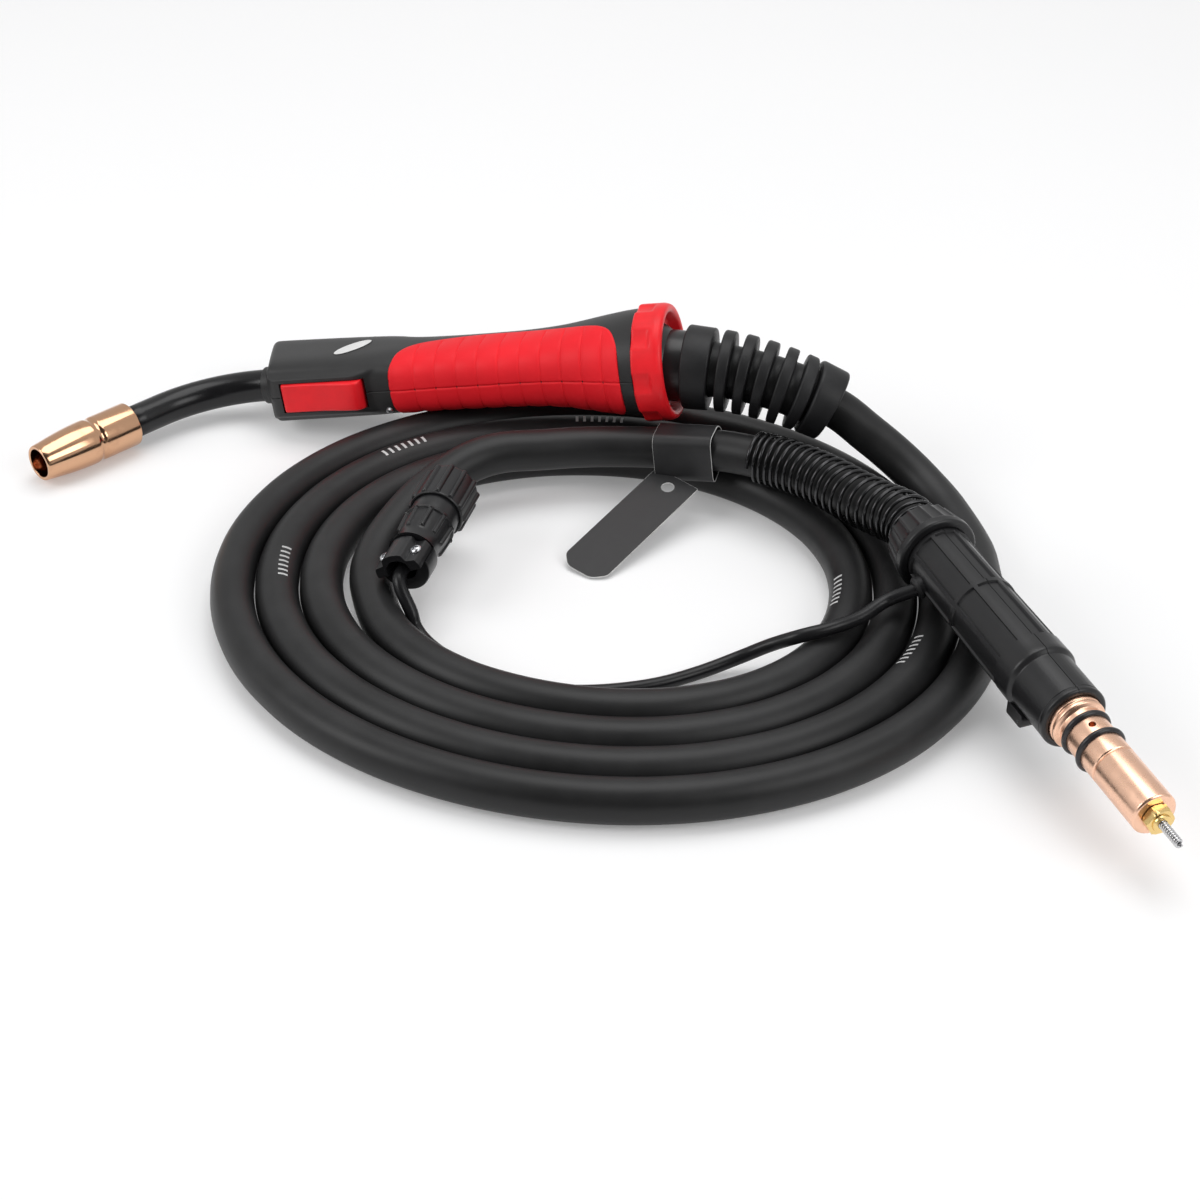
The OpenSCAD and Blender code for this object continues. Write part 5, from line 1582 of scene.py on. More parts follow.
# ---------------- head of the torch
@dataclass
class NozzleHead:
    """Gas nozzle, insulator, contact tip and the bent neck, in millimetres."""

    back: float = 15.5
    waist: float = 32.03
    mouth: float = 59.0
    back_r: float = 9.0
    waist_r: float = 8.45
    neck_r: float = 6.5
    neck_end: float = 20.0

    def _taper(self, end: float, least: float, swell: float) -> List[Triple]:
        """A line that swells from the mouth back to the waist, from front to back."""
        start = self.waist + 4.0
        shares = [k / 12 for k in range(13)]
        return [(start + (end - start) * t, least + swell * math.cos(0.5 * math.pi * t), 0) for t in shares]

    def nozzle(self) -> None:
        """Makes the gas nozzle with its waist groove and slim mouth."""
        back, waist, mouth = self.back, self.waist, self.mouth
        wide, slim = self.back_r, self.waist_r
        Turned("nozzle_body", HEAD, [
            (back, 8.7, 0), (back + 0.3, wide, 0.2), (waist - 0.5, wide, 0.6), (waist + 0.7, slim, 0.6),
            (waist + 1.7, slim, 0.6), (waist + 3.0, 9.15, 1.2), *self._taper(mouth - 0.5, 7.3, 1.85)[1:],
            (mouth - 0.1, 7.1, 0), (mouth, 6.9, 0), (mouth, 6.2, 0), (mouth - 0.1, 6.0, 0),
            *reversed(self._taper(mouth - 0.2, 5.9, 1.7)), (back, 7.6, 0),
        ], sides=144, smooth_below=40).fit(NOZZLE_COPPER, Body.NOZZLE, "gas_nozzle")

    def inside(self) -> None:
        """Makes the insulator and the contact tip."""
        back = self.back
        Turned("insulator_ring", HEAD, [
            (back + 0.6, 5.45, 0), (back + 0.6, 7.5, 0.3), (31.0, 7.5, 0.4), (31.0, 5.05, 0),
            (back + 4, 5.05, 0), (back + 4, 5.45, 0),
        ]).fit(INSULATOR, Body.HANDLE, "nozzle_insulator")
        Turned("tip_rod", HEAD, [
            (30.6, 0.45, 0), (30.6, 3.0, 0), (50.3, 3.0, 0.3), (52.3, 2.25, 0.4), (52.5, 1.9, 0.2),
            (52.5, 0.5, 0.1), (52.3, 0.45, 0),
        ], sides=64).fit(TIP_COPPER, Body.HANDLE, "contact_tip")

    def neck(self) -> None:
        """Makes the sleeved neck along its bend."""
        centres = [(HEAD.mm(x), np.array(HEAD.x)) for x in (self.back - 0.5, self.back - 0.9, 10.0, 5.0, 0.0)]
        for k in range(1, 40):
            turned = NECK_TURN * (1 - k / 40)
            a = math.radians(turned)
            ahead = -(math.cos(a) * np.array(TORCH.x) + math.sin(a) * np.array(TORCH.z))
            centres.append((neck_point(turned), ahead))
        straight = (NECK_START_MM, 0.0, self.neck_end - 0.4, self.neck_end)
        centres += [(TORCH.mm(x), -np.array(TORCH.x)) for x in straight]
        level = np.array(TORCH.y)
        rings = []
        for k, (centre, ahead) in enumerate(centres):
            r = self.neck_r - (0.3 if k in (0, len(centres) - 1) else 0.0)
            rings.append(circle(centre, level, np.cross(level, ahead), r / 1000, 72))
        sleeve = skin("neck_sleeve_tube", rings, smooth_below=40)
        fit_out(sleeve, NECK_SLEEVE, Body.HANDLE, "gooseneck")

    def build(self) -> None:
        """Makes the whole head."""
        self.nozzle()
        self.inside()
        self.neck()


# ---------------- ring nut and knuckle
@dataclass
class Swivel:
    """The scalloped red ring nut and the knuckle whose ball it holds, in millimetres."""

    start: float = 154.4
    end: float = 166.6
    outside: float = 23.0
    scallops: int = 8
    scallop_r: float = 14.4
    scallop_out: float = 36.4
    scallop_end: float = 160.6
    scallop_fade: float = 1.8
    ball_r: float = 17.5
    collar_x: float = 10.5
    collar_r: float = 14.0
    neck_x: float = 22.0
    neck_r: float = 9.0
    reach: float = 26.4

    def scallop(self, x: float, r: float, turn: float) -> float:
        """Depth of the finger scallops."""
        a = math.radians(off_middle(turn, self.scallops))
        inside = self.scallop_r ** 2 - (self.scallop_out * math.sin(a)) ** 2
        if r < 21.0 or inside <= 0:
            return 0.0
        near = self.scallop_out * math.cos(a) - math.sqrt(inside)
        fade = 1 - clamp((x - self.scallop_end) / self.scallop_fade)
        return -max(0.0, self.outside - near) * eased(fade)

    def ring(self) -> None:
        """Makes the ring nut."""
        a, b, r = self.start, self.end, self.outside
        corners = [
            (a, 20.8, 0), (a, 22.6, 0.3), (155.0, r, 0.4), (164.3, r, 1.6), (166.3, 22.1, 1.4),
            (b, 20.4, 0.6), (165.9, 19.3, 0.6), (162.0, 17.9, 0.8), (161.0, 16.6, 0.3), (158.5, 17.5, 0.2),
            (158.5, 20.8, 0),
        ]
        extra = [155.6, 157.0, 158.5, 160.0, 160.6, 160.9, 161.2, 161.5, 161.8, 162.1, 162.4, 163.4]
        nut = Turned("ring_nut_body", TORCH, corners, self.scallop, sides=256, extra=extra, smooth_below=45)
        nut.fit(RED_PLASTIC, Body.RING_NUT, "ring_nut")

    def knuckle(self) -> None:
        """Makes the knuckle: a ball with a short neck."""
        x, y, z = TAIL_RUN
        yaw, pitch = math.degrees(math.atan2(y, x)), math.degrees(math.asin(z))
        place = Place.turned(BALL, spin("Z", yaw) @ spin("Y", -pitch))
        last = math.degrees(math.acos(self.collar_x / self.ball_r))
        arc = []
        for k in range(33):
            a = math.radians(last + 180.0 * (1 - k / 32))
            arc.append((self.ball_r * math.cos(a), abs(self.ball_r * math.sin(a)), 0))
        arc = sorted(step for step in arc if abs(step[0] + 0.05) < self.collar_x + 0.05)
        a, b, r = self.collar_x, self.neck_x, self.collar_r
        corners = [
            (-a, self.neck_r, 0), (-a, r, 0), *arc, (a, r, 0), (b, r, 0.3), (b, self.neck_r, 0),
            (self.reach, self.neck_r, 0.3), (self.reach, 3.0, 0), (3.0, 3.0, 0),
        ]
        body = Turned("knuckle_body", place, corners, smooth_below=30)
        body.fit(KNUCKLE_PLASTIC, Body.ROOT, "swivel_knuckle")

    def build(self) -> None:
        """Makes both pieces."""
        self.ring()
        self.knuckle()


# ---------------- power plug
@dataclass
class PowerPlug:
    """Collar nut, ribbed housing halves, pin, O-rings, liner nut and liner, in millimetres."""

    length: float = 75.0
    ribs: int = 8
    rib_first: float = 22.5
    rib_out: float = 0.8
    rib_half: float = 3.4
    rib_slope: float = 0.9
    ring_bands: Sequence[Tuple[float, float]] = ((0.6, 2.1), (32.25, 34.05), (66.0, 80.0))
    flutes: int = 20
    flute_depth: float = 0.62
    flute_share: float = 0.84
    rim: float = 3.2
    rings_at: Tuple[float, float] = (104.6, 113.8)
    land: float = 123.4
    pin_end: float = 147.4
    pin_r: float = 7.95
    nut_flat: float = 4.5
    liner_pitch: float = 1.12
    liner_wire: float = 0.92
    liner_r: float = 1.6

    def flute(self, x: float, r: float, turn: float) -> float:
        """Depth of the collar nut's broad flutes behind its smooth rim."""
        if r < 12.35 or x > -self.rim:
            return 0.0
        share = abs(off_middle(turn, self.flutes)) / (180 / self.flutes)
        return -self.flute_depth * arch(share / self.flute_share) * min(1.0, (-self.rim - x) / 0.7)

    def collar(self) -> List[Piece]:
        """Makes the fluted collar nut."""
        corners = [
            (0.0, 12.3, 0), (0.0, 14.6, 0.4), (-0.7, 15.2, 0.4), (-3.1, 15.2, 0.4), (-14.6, 13.1, 0.5),
            (-15.0, 12.5, 0.3), (-15.0, 11.4, 0), (-6.3, 11.4, 0), (-6.3, 12.3, 0),
        ]
        extra = [-3.3, -3.5, -3.7, -3.9, -5.0, -8.0, -11.0, -13.5]
        nut = Turned("collar_nut_body", PLUG, corners, self.flute, sides=300, extra=extra, smooth_below=32)
        return [nut.fit(PLUG_PLASTIC, Body.COLLAR, "collar_nut")]

    def radius(self, x: float) -> float:
        """Outside radius of the ribbed part."""
        return 12.3 + x / self.length

    def rib(self, x: float, r: float, turn: float) -> float:
        """Height of the ribs and rings over the panels, and the parting line."""
        seam = abs(off_middle(turn, 2))
        line = -0.22 if seam < 0.55 and r > 11.0 else 0.0
        if r < 11.2 or not 0.6 < x < 72.6:
            return line
        off = abs(off_middle(turn, self.ribs, self.rib_first))
        up = clamp((self.rib_half + self.rib_slope - off) / self.rib_slope)
        return line + self.rib_out * max(up, *(self._band(x, *band) for band in self.ring_bands))

    @staticmethod
    def _band(x: float, start: float, end: float) -> float:
        """1 between two places along the housing, with short slopes outside them."""
        slope = 0.35
        return clamp(min((x - start + slope) / slope, (end + slope - x) / slope))

    def _angles(self, start: int) -> List[float]:
        """Turns of one housing half, close together at the ribs and the seam."""
        turns = set(float(a) for a in range(start, start + 181, 5))
        for k in range(self.ribs):
            middle = self.rib_first + 360 / self.ribs * k
            for off in (self.rib_half, self.rib_half + self.rib_slope):
                turns |= {middle - off, middle + off}
        turns |= {start + 0.5, start + 0.6, start + 179.4, start + 179.5}
        kept = sorted(a for a in turns if start <= a <= start + 180)
        return [min(max(a, start + 0.12), start + 179.88) for a in kept]

    def _lug(self, number: int, side: int) -> Piece:
        """One lug that the housing's screw sits in."""
        block = [(73.6, -11.9, 0.8), (73.6, -6.9, 0.3), (83.9, -6.9, 2.0), (84.0, -11.9, 2.4)]
        flat = Place.of(PLUG.origin, PLUG.x, PLUG.z, -np.array(PLUG.y))
        low, high = (-11.3, -5.4) if side > 0 else (5.4, 11.3)
        lug = bevel(prism(f"screw_lug_{number}", flat, soften(block, 5), low, high), 0.8)
        return fit_out(lug, PLUG_PLASTIC, Body.ROOT)

    def housing(self) -> List[Piece]:
        """Makes the two halves with the screw lugs."""
        pieces = []
        front, back = (self.radius(x) - self.rib_out for x in (0.0, 72.4))
        corners = [
            (-6.0, 8.1, 0), (-6.0, 12.0, 0), (0.3, 12.0, 0), (0.35, 11.9, 0), (0.6, front, 0),
            (72.4, back, 0), (72.7, 13.3, 0), (74.7, 13.3, 0.8), (75.9, 12.4, 0.5), (76.5, 12.0, 0.4),
            (94.2, 12.0, 0.1), (94.4, 11.8, 0.1), (94.8, 11.8, 0.1), (95.0, 12.1, 0.3), (96.4, 12.1, 1.0),
            (97.2, 11.3, 0.8), (97.1, 9.9, 0.3), (96.2, 9.72, 0), (93.2, 9.72, 0), (93.2, 8.1, 0),
        ]
        extra = [0.8, 1.4, 2.1, 2.5, 15.0, 31.85, 32.25, 34.05, 34.45, 50.0, 65.6, 66.0, 69.0]
        for start, node, side in ((0, "plug_housing_left", 1), (180, "plug_housing_right", -1)):
            number = side + 1
            half = Turned(
                f"housing_half_{number}", PLUG, corners, self.rib, self._angles(start), whole=False,
                extra=extra, smooth_below=32,
            )
            pieces += [half.fit(PLUG_PLASTIC, Body.ROOT, node), self._lug(number, side)]
            seat = Place.of(PLUG.mm(81.0, side * 9.8, -10.0), side * np.array(PLUG.y), PLUG.z, PLUG.x)
            screw = Screw(f"lug_screw_{number}", seat, 2.5)
            pieces.append(screw.build(Body.ROOT, *(["plug_screws"] if side > 0 else [])))
        return pieces

    def pin(self) -> List[Piece]:
        """Makes the turned pin with its flange, ring grooves and gas hole."""
        r, land, end = self.pin_r, self.land, self.pin_end
        grooves = []
        for x in self.rings_at:
            a, b = x - 1.2, x + 1.2
            grooves += [(a, r, 0.1), (a, r - 1.1, 0), (b, r - 1.1, 0), (b, r, 0.1)]
        corners = [
            (40.3, 1.62, 0), (40.3, 8.0, 0), (93.3, 8.0, 0), (93.3, 9.68, 0), (98.2, 9.68, 0.2),
            (98.5, 9.2, 0.2), (99.0, 9.2, 0.2), (99.3, 9.68, 0.2), (100.6, 9.68, 0.5), (101.3, r, 0.4),
            *grooves, (land - 1.3, r, 0.1), (land - 1.0, r - 0.35, 0.15), (land - 0.5, r - 0.35, 0.15),
            (land, r, 0.2), (end - 0.6, r, 0.4), (end, r - 0.6, 0.3), (end, 3.0, 0), (end - 6.0, 3.0, 0),
            (end - 6.0, 1.62, 0),
        ]
        body = Turned("pin_body", PLUG, corners, sides=160, smooth_below=30).build()
        turn = math.radians(12)
        out = math.cos(turn) * np.array(PLUG.z) - math.sin(turn) * np.array(PLUG.y)
        hole = Place.of(PLUG.mm(sum(self.rings_at) / 2), PLUG.x, np.cross(out, PLUG.x), out)
        cut(body, rod("gas_hole", hole, 1.25, 2.5, 12.0, 32), smooth_below=30)
        return [fit_out(body, PIN_COPPER, Body.ROOT, "power_pin"), *self.o_rings()]

    def o_rings(self) -> List[Piece]:
        """Makes the two O-rings in the pin's grooves."""
        thick, middle = 1.15, self.pin_r + 0.02
        turns = np.linspace(0, 2 * math.pi, 25)[:-1]
        rings = []
        for x, nodes in zip(self.rings_at, (["pin_o_rings"], [])):
            section = [(x + thick * math.cos(t), middle + thick * math.sin(t), 0) for t in turns]
            ring = Turned(f"o_ring_{round(x)}", PLUG, section, sides=120, smooth_below=80)
            rings.append(ring.fit(ORING_RUBBER, Body.ROOT, *nodes))
        return rings

    def hexagon(self, x: float, r: float, turn: float) -> float:
        """Cuts the liner nut's six flats."""
        if r < 4.0 or not self.pin_end + 0.2 < x < self.pin_end + 4.1:
            return 0.0
        return min(0.0, self.nut_flat / math.cos(math.radians(off_middle(turn, 6))) - r)

    def liner(self) -> List[Piece]:
        """Makes the liner nut and the wound liner."""
        e = self.pin_end
        corners = [
            (e - 5.6, 1.66, 0), (e - 5.6, 2.95, 0), (e + 0.3, 2.95, 0), (e + 0.3, 4.7, 0), (e + 0.7, 5.2, 0),
            (e + 3.5, 5.2, 0), (e + 3.9, 4.7, 0), (e + 3.95, 3.4, 0), (e + 4.8, 3.2, 0.2), (e + 4.8, 1.66, 0),
        ]
        extra = [e + 1.5]
        nut = Turned("liner_nut_body", PLUG, corners, self.hexagon, sides=144, extra=extra, smooth_below=25)
        pieces = [nut.fit(BRASS, Body.LINER_NUT, "liner_nut")]
        start, end, wire, a_turn = e + 0.5, e + 15.0, self.liner_wire, 14
        steps, run = (end - start) / self.liner_pitch * a_turn, end - start - wire
        points = []
        for k in range(round(steps) + 1):
            a, r = 2 * math.pi * k / a_turn, self.liner_r - wire / 2
            points.append(PLUG.mm(start + wire / 2 + run * k / steps, r * math.cos(a), r * math.sin(a)))
        coil = Route(points).tube("liner_coil", wire / 1000, 3, 2)
        pieces.append(fit_out(coil, LINER_STEEL, Body.ROOT, "wire_liner"))
        line = [(44.0, 0.55, 0), (44.0, 1.2, 0), (e + 13.8, 1.2, 0), (e + 13.8, 0.55, 0)]
        core = Turned("liner_core", PLUG, line, sides=24)
        return [*pieces, core.fit(LINER_STEEL, Body.ROOT)]

    def grommet(self) -> List[Piece]:
        """Makes the rubber grommet where the control lead comes out."""
        corners = [
            (9.2, 2.55, 0), (9.2, 3.95, 0), (12.6, 3.95, 0.2), (12.7, 4.25, 0.2), (13.4, 4.25, 0.3),
            (14.4, 3.5, 0.5), (14.4, 2.55, 0),
        ]
        boot = Turned("lead_boot", LEAD_EXIT, corners, sides=64)
        return [boot.fit(BOOT_RUBBER, Body.ROOT, "lead_grommet")]

    def build(self) -> List[Piece]:
        """Makes every piece of the plug.

        Returns:
            The pieces.
        """
        return [*self.collar(), *self.housing(), *self.pin(), *self.liner(), *self.grommet()]


@dataclass
class Screw:
    """A domed screw head with a cross recess, turned round its place's x axis, in millimetres."""

    name: str
    place: Place
    head_r: float

    def build(self, body: Body, *nodes: str) -> Piece:
        """Makes the screw.

        Args:
            body: the body that carries it.
            nodes: the nodes it stands for.

        Returns:
            The mesh object.
        """
        r, long = self.head_r, 0.72 * self.head_r
        corners = [
            (-4.0, 0.02, 0), (-4.0, 1.2, 0), (0.0, 1.2, 0), (0.0, r, 0.1), (0.5, r, 0.4), (1.3, long, 0.6),
            (1.6, 0.02, 0),
        ]
        piece = Turned(self.name, self.place, corners, sides=48, smooth_below=40).build()
        flat = Place(self.place.origin, self.place.y, self.place.z, self.place.x)
        tools = []
        for k, (a, b) in enumerate(((long, 0.3), (0.3, long))):
            tools.append(prism(f"{self.name}_slot_{k}", flat, [(-a, -b), (a, -b), (a, b), (-a, b)], 0.7, 3.0))
        cut(piece, *tools, smooth_below=35)
        return fit_out(piece, ZINC_STEEL, body, *nodes)


# ---------------- control plug
@dataclass
class ControlPlug:
    """Clamp, back shell, barrel, coupling ring and contacts, in millimetres."""

    ribs: int = 10
    rib_half: float = 0.95
    rib_at_r: float = 9.0
    rib_start: float = 20.4
    lugs: int = 12
    lug_half: float = 1.05
    lug_at_r: float = 10.8
    ring_start: float = 37.9
    ring_end: float = 55.9
    contact_r: float = 3.6

    def rib(self, x: float, r: float, turn: float) -> float:
        """Ribs of the back shell that end in round beads."""
        if r < 7.0 or not 18.0 < x < 30.0:
            return 0.0
        off = abs(off_middle(turn, self.ribs)) * math.radians(1) * self.rib_at_r
        ends = arch(max(0.0, self.rib_start - x)) * (1.0 if x < 29.4 else max(0.0, (29.9 - x) / 0.5))
        return self.rib_half * arch(off / self.rib_half) * ends

    def lug(self, x: float, r: float, turn: float) -> float:
        """Lugs of the coupling ring, rounded at both ends."""
        if r < 10.0:
            return 0.0
        off = abs(off_middle(turn, self.lugs)) * math.radians(1) * self.lug_at_r
        near = max(0.0, (self.ring_start + 1.7 - x) / 1.1, (x - self.ring_end + 1.0) / 0.9)
        return arch(off / self.lug_half) * arch(near)

    def shell(self) -> List[Piece]:
        """Makes the back shell with its open clamp."""
        corners = [
            (4.0, 4.8, 0), (4.0, 9.6, 0.5), (12.9, 9.7, 0.8), (13.9, 8.7, 0.8), (18.0, 8.35, 1.0),
            (24.0, 8.75, 0.5), (29.3, 8.95, 0.2), (29.6, 9.75, 0.2), (30.8, 9.75, 0.3), (30.8, 8.6, 0),
            (30.4, 0.02, 0), (17.0, 0.02, 0), (17.0, 4.8, 0),
        ]
        extra = [18.4, 19.42, 19.5, 19.6, 19.75, 19.95, 20.2, 20.5, 21.5, 23.0, 25.0, 27.0, 29.0]
        body = Turned("shell_body", CONTROL, corners, self.rib, sides=240, extra=extra).build()
        flat = [(-5.0, -20.0), (13.2, -20.0), (13.2, 20.0), (-5.0, 20.0)]
        cut(body, prism("clamp_flat", CONTROL, flat, 0.4, 20.0), smooth_below=32)
        return [fit_out(body, CONTROL_PLASTIC, Body.ROOT, "control_backshell")]

    def saddle(self) -> List[Piece]:
        """Makes the clamp saddle with its arch and the two screws."""
        upright = Place(CONTROL.origin, CONTROL.y, CONTROL.z, CONTROL.x)
        left = [(-9.2, 0.5, 0.2), (-9.25, 2.2, 0.5), (-8.6, 4.4, 0.6), (-4.9, 4.9, 0.5)]
        right = [(-y, z, r) for y, z, r in reversed(left)]
        crown = [(y, math.sqrt(9.3 ** 2 - y * y) - 0.9, 0.4) for y in (-4.2, -2.6, 0.0, 2.6, 4.2)]
        under = [(4.8, 0.5, 0.1), (4.8, 2.0, 0.2), (4.3, 3.9, 0.8), (2.4, 5.4, 0.9)]
        back = [(-y, z, r) for y, z, r in reversed(under)]
        line = soften([*left, *crown, *right, *under, (0.0, 5.9, 0.9), *back], 3)
        piece = bevel(prism("saddle_arch", upright, line, 0.0, 12.4), 0.45)
        pieces = [fit_out(piece, CONTROL_PLASTIC, Body.ROOT, "clamp_saddle")]
        for k, nodes in enumerate(([], ["clamp_screws"])):
            seat = Place.of(CONTROL.mm(6.5, 13.4 * (k - 0.5), 4.6), CONTROL.z, CONTROL.x, CONTROL.y)
            pieces.append(Screw(f"clamp_screw_{k}", seat, 2.3).build(Body.ROOT, *nodes))
        return pieces

    def barrel(self) -> List[Piece]:
        """Makes the smooth barrel, the contact block and its contacts."""
        barrel = Turned("barrel_body", CONTROL, [
            (30.8, 0.02, 0), (30.8, 9.2, 0.1), (40.3, 9.2, 0.2), (41.3, 8.7, 0.1), (52.9, 8.7, 0.3),
            (52.9, 7.9, 0.2), (42.7, 7.9, 0), (42.7, 0.02, 0),
        ])
        pieces = [barrel.fit(CONTROL_PLASTIC, Body.ROOT, "control_barrel")]
        line = [(42.75, 0.02, 0), (42.75, 7.8, 0), (46.3, 7.8, 0.4), (46.3, 0.02, 0)]
        block = Turned("contact_block", CONTROL, line, sides=72)
        pieces.append(block.fit(INSERT_PLASTIC, Body.ROOT, "control_insert"))
        line = [(42.8, 0.02, 0), (42.8, 0.98, 0), (50.8, 0.98, 0.5), (51.5, 0.5, 0.3), (51.5, 0.02, 0)]
        for k, nodes in enumerate((["control_pins"], [], [], [])):
            a, r = math.radians(45 + 90 * k), self.contact_r
            seat = CONTROL.moved(0.0, r * math.sin(a), r * math.cos(a))
            contact = Turned(f"contact_{k}", seat, line, sides=24)
            pieces.append(contact.fit(ZINC_STEEL, Body.ROOT, *nodes))
        return pieces

    def ring(self) -> List[Piece]:
        """Makes the lugged coupling ring."""
        a, b = self.ring_start, self.ring_end
        corners = [
            (a, 9.5, 0), (a, 10.1, 0.2), (a + 0.5, 10.4, 0.3), (b - 0.8, 10.4, 0.4), (b, 9.9, 0.3),
            (b, 9.5, 0),
        ]
        extra = [a + 0.62, a + 0.7, a + 0.82, a + 1.0, a + 1.25, a + 1.7, a + 5, a + 10, b - 1.0, b - 0.9]
        ring = Turned("coupling_body", CONTROL, corners, self.lug, sides=288, extra=extra, smooth_below=32)
        return [ring.fit(CONTROL_PLASTIC, Body.COUPLING, "coupling_ring")]

    def build(self) -> List[Piece]:
        """Makes every piece of the control plug.

        Returns:
            The pieces.
        """
        return [*self.shell(), *self.saddle(), *self.barrel(), *self.ring()]


# ---------------- tag and printed marks
@dataclass
class HangTag:
    """The folded card tag in millimetres: a band round the cable and a panel, with white cut edges."""

    along: float = 10.7
    band: float = 23.0
    length: float = 60.0
    width: float = 20.0
    card: float = 0.62
    hole_at: float = 6.0
    hole_r: float = 2.6

    def _loop(self, off: float) -> Line:
        """Section of the band: across the cable and up."""
        return soften([
            (8.9 + off, -4.5, 3.0), (9.0 + off, 3.8, 4.5), (4.2, 8.95 + off, 3.0),
            (-6.9 - 0.4 * off, 8.95 + off, 2.4), (-9.15 - off, 6.6, 2.0), (-9.35 - off, -7.6, 2.2),
            (-7.2, -10.2 - off, 2.2), (-1.0, -9.3 - off, 4.0), (6.0, -7.4 - off, 3.0),
        ], 6)

    def _band(self, path: Route, name: str, inside: float, outside: float, shorter: float) -> Piece:
        """One layer of the band."""
        middle, ahead = path.at(self.along), path.heading(self.along)
        side, up = across(ahead)
        reach = self.band / 2 - shorter
        rings = []
        for off, run in ((inside, -reach), (outside, -reach), (outside, reach), (inside, reach)):
            rings.append([middle + (run * ahead - x * side + z * up) / 1000 for x, z in self._loop(off)])
        return skin(name, rings, closed=True, smooth_below=30)

    def _sheet(self, name: str, low: float, high: float, grow: float) -> Piece:
        """One layer of the panel."""
        turn = spin("Z", -130.0) @ spin("Y", 13.2) @ spin("X", -6.0)
        place = Place.turned(HERE + (0.1196, -0.0474, 0.0146), turn)
        w, e = self.width / 2 + grow, self.length + grow
        line = [
            (-grow, -w, 0.8), (e - 4.5, -w, 1.6), (e, -w + 4.5, 2.4), (e, w - 4.5, 2.4), (e - 4.5, w, 1.6),
            (-grow, w, 0.8),
        ]
        piece = prism(name, place, soften(line, 5), low, high)
        hole = rod("tag_hole", place.moved(self.hole_at), self.hole_r - grow, -5.0, 5.0, 40)
        return cut(piece, hole, smooth_below=30)

    def build(self, path: Route) -> List[Piece]:
        """Makes the tag.

        Args:
            path: the cable's line from the coil to the plug.

        Returns:
            The pieces that ride with the plug.
        """
        film, full = 0.06, self.card
        layers = [
            (self._band(path, "tag_band_outer", 0.22, 0.30, 0.05), TAG_CARD, ["hang_tag"]),
            (self._band(path, "tag_band_core", -0.24, 0.22, -0.08), TAG_EDGE, []),
            (self._band(path, "tag_band_inner", -0.30, -0.24, 0.05), TAG_CARD, []),
            (self._sheet("tag_face", full - film, full, 0.0), TAG_CARD, []),
            (self._sheet("tag_core", film, full - film, 0.1), TAG_EDGE, []),
            (self._sheet("tag_back", 0.0, film, 0.0), TAG_CARD, []),
        ]
        return [fit_out(piece, finish, Body.ROOT, *nodes) for piece, finish, nodes in layers]


@dataclass
class PrintedMarks:
    """Groups of plain pale bars printed on the cable, as a measure of its length."""

    groups: Sequence[Tuple[float, float]] = (
        (-385.0, 60.0), (-541.5, 70.0), (-587.0, 85.0), (-628.5, 85.0), (-968.0, 60.0), (-1088.0, 50.0),
    )
    bars: int = 7
    bar_mm: float = 1.1
    step_mm: float = 3.0
    arc: float = 26.0
    parts: int = 8
    lift: float = 0.00003

    def build(self, coil: Coil, radius: float) -> Piece:
        """Makes all the marks as one thin print that rides on the coil.

        Args:
            coil: the coil's plan.
            radius: the cable's radius.

        Returns:
            The mesh object.
        """
        points, faces = [], []
        reach_out, n = radius + self.lift, self.parts
        for angle, roll in self.groups:
            reach = math.hypot(*(coil.at(angle)[:2] - np.array(coil.centre)))
            for k in range(self.bars):
                middle = angle - math.degrees((k - (self.bars - 1) / 2) * self.step_mm / 1000 / reach)
                half = math.degrees(self.bar_mm / 2000 / reach)
                first = len(points)
                for a in (middle - half, middle + half):
                    centre = coil.at(a)
                    side, up = across(coil.heading(a))
                    for j in range(n + 1):
                        p = math.radians(roll + self.arc * (j / n - 0.5))
                        points.append(centre + reach_out * (math.cos(p) * side + math.sin(p) * up))
                faces += [(j, j + 1, j + n + 2, j + n + 1) for j in range(first, first + n)]
        piece = mesh_piece("cable_print", points, faces, 60)
        return fit_out(piece, PRINT_GREY, Body.ROOT)


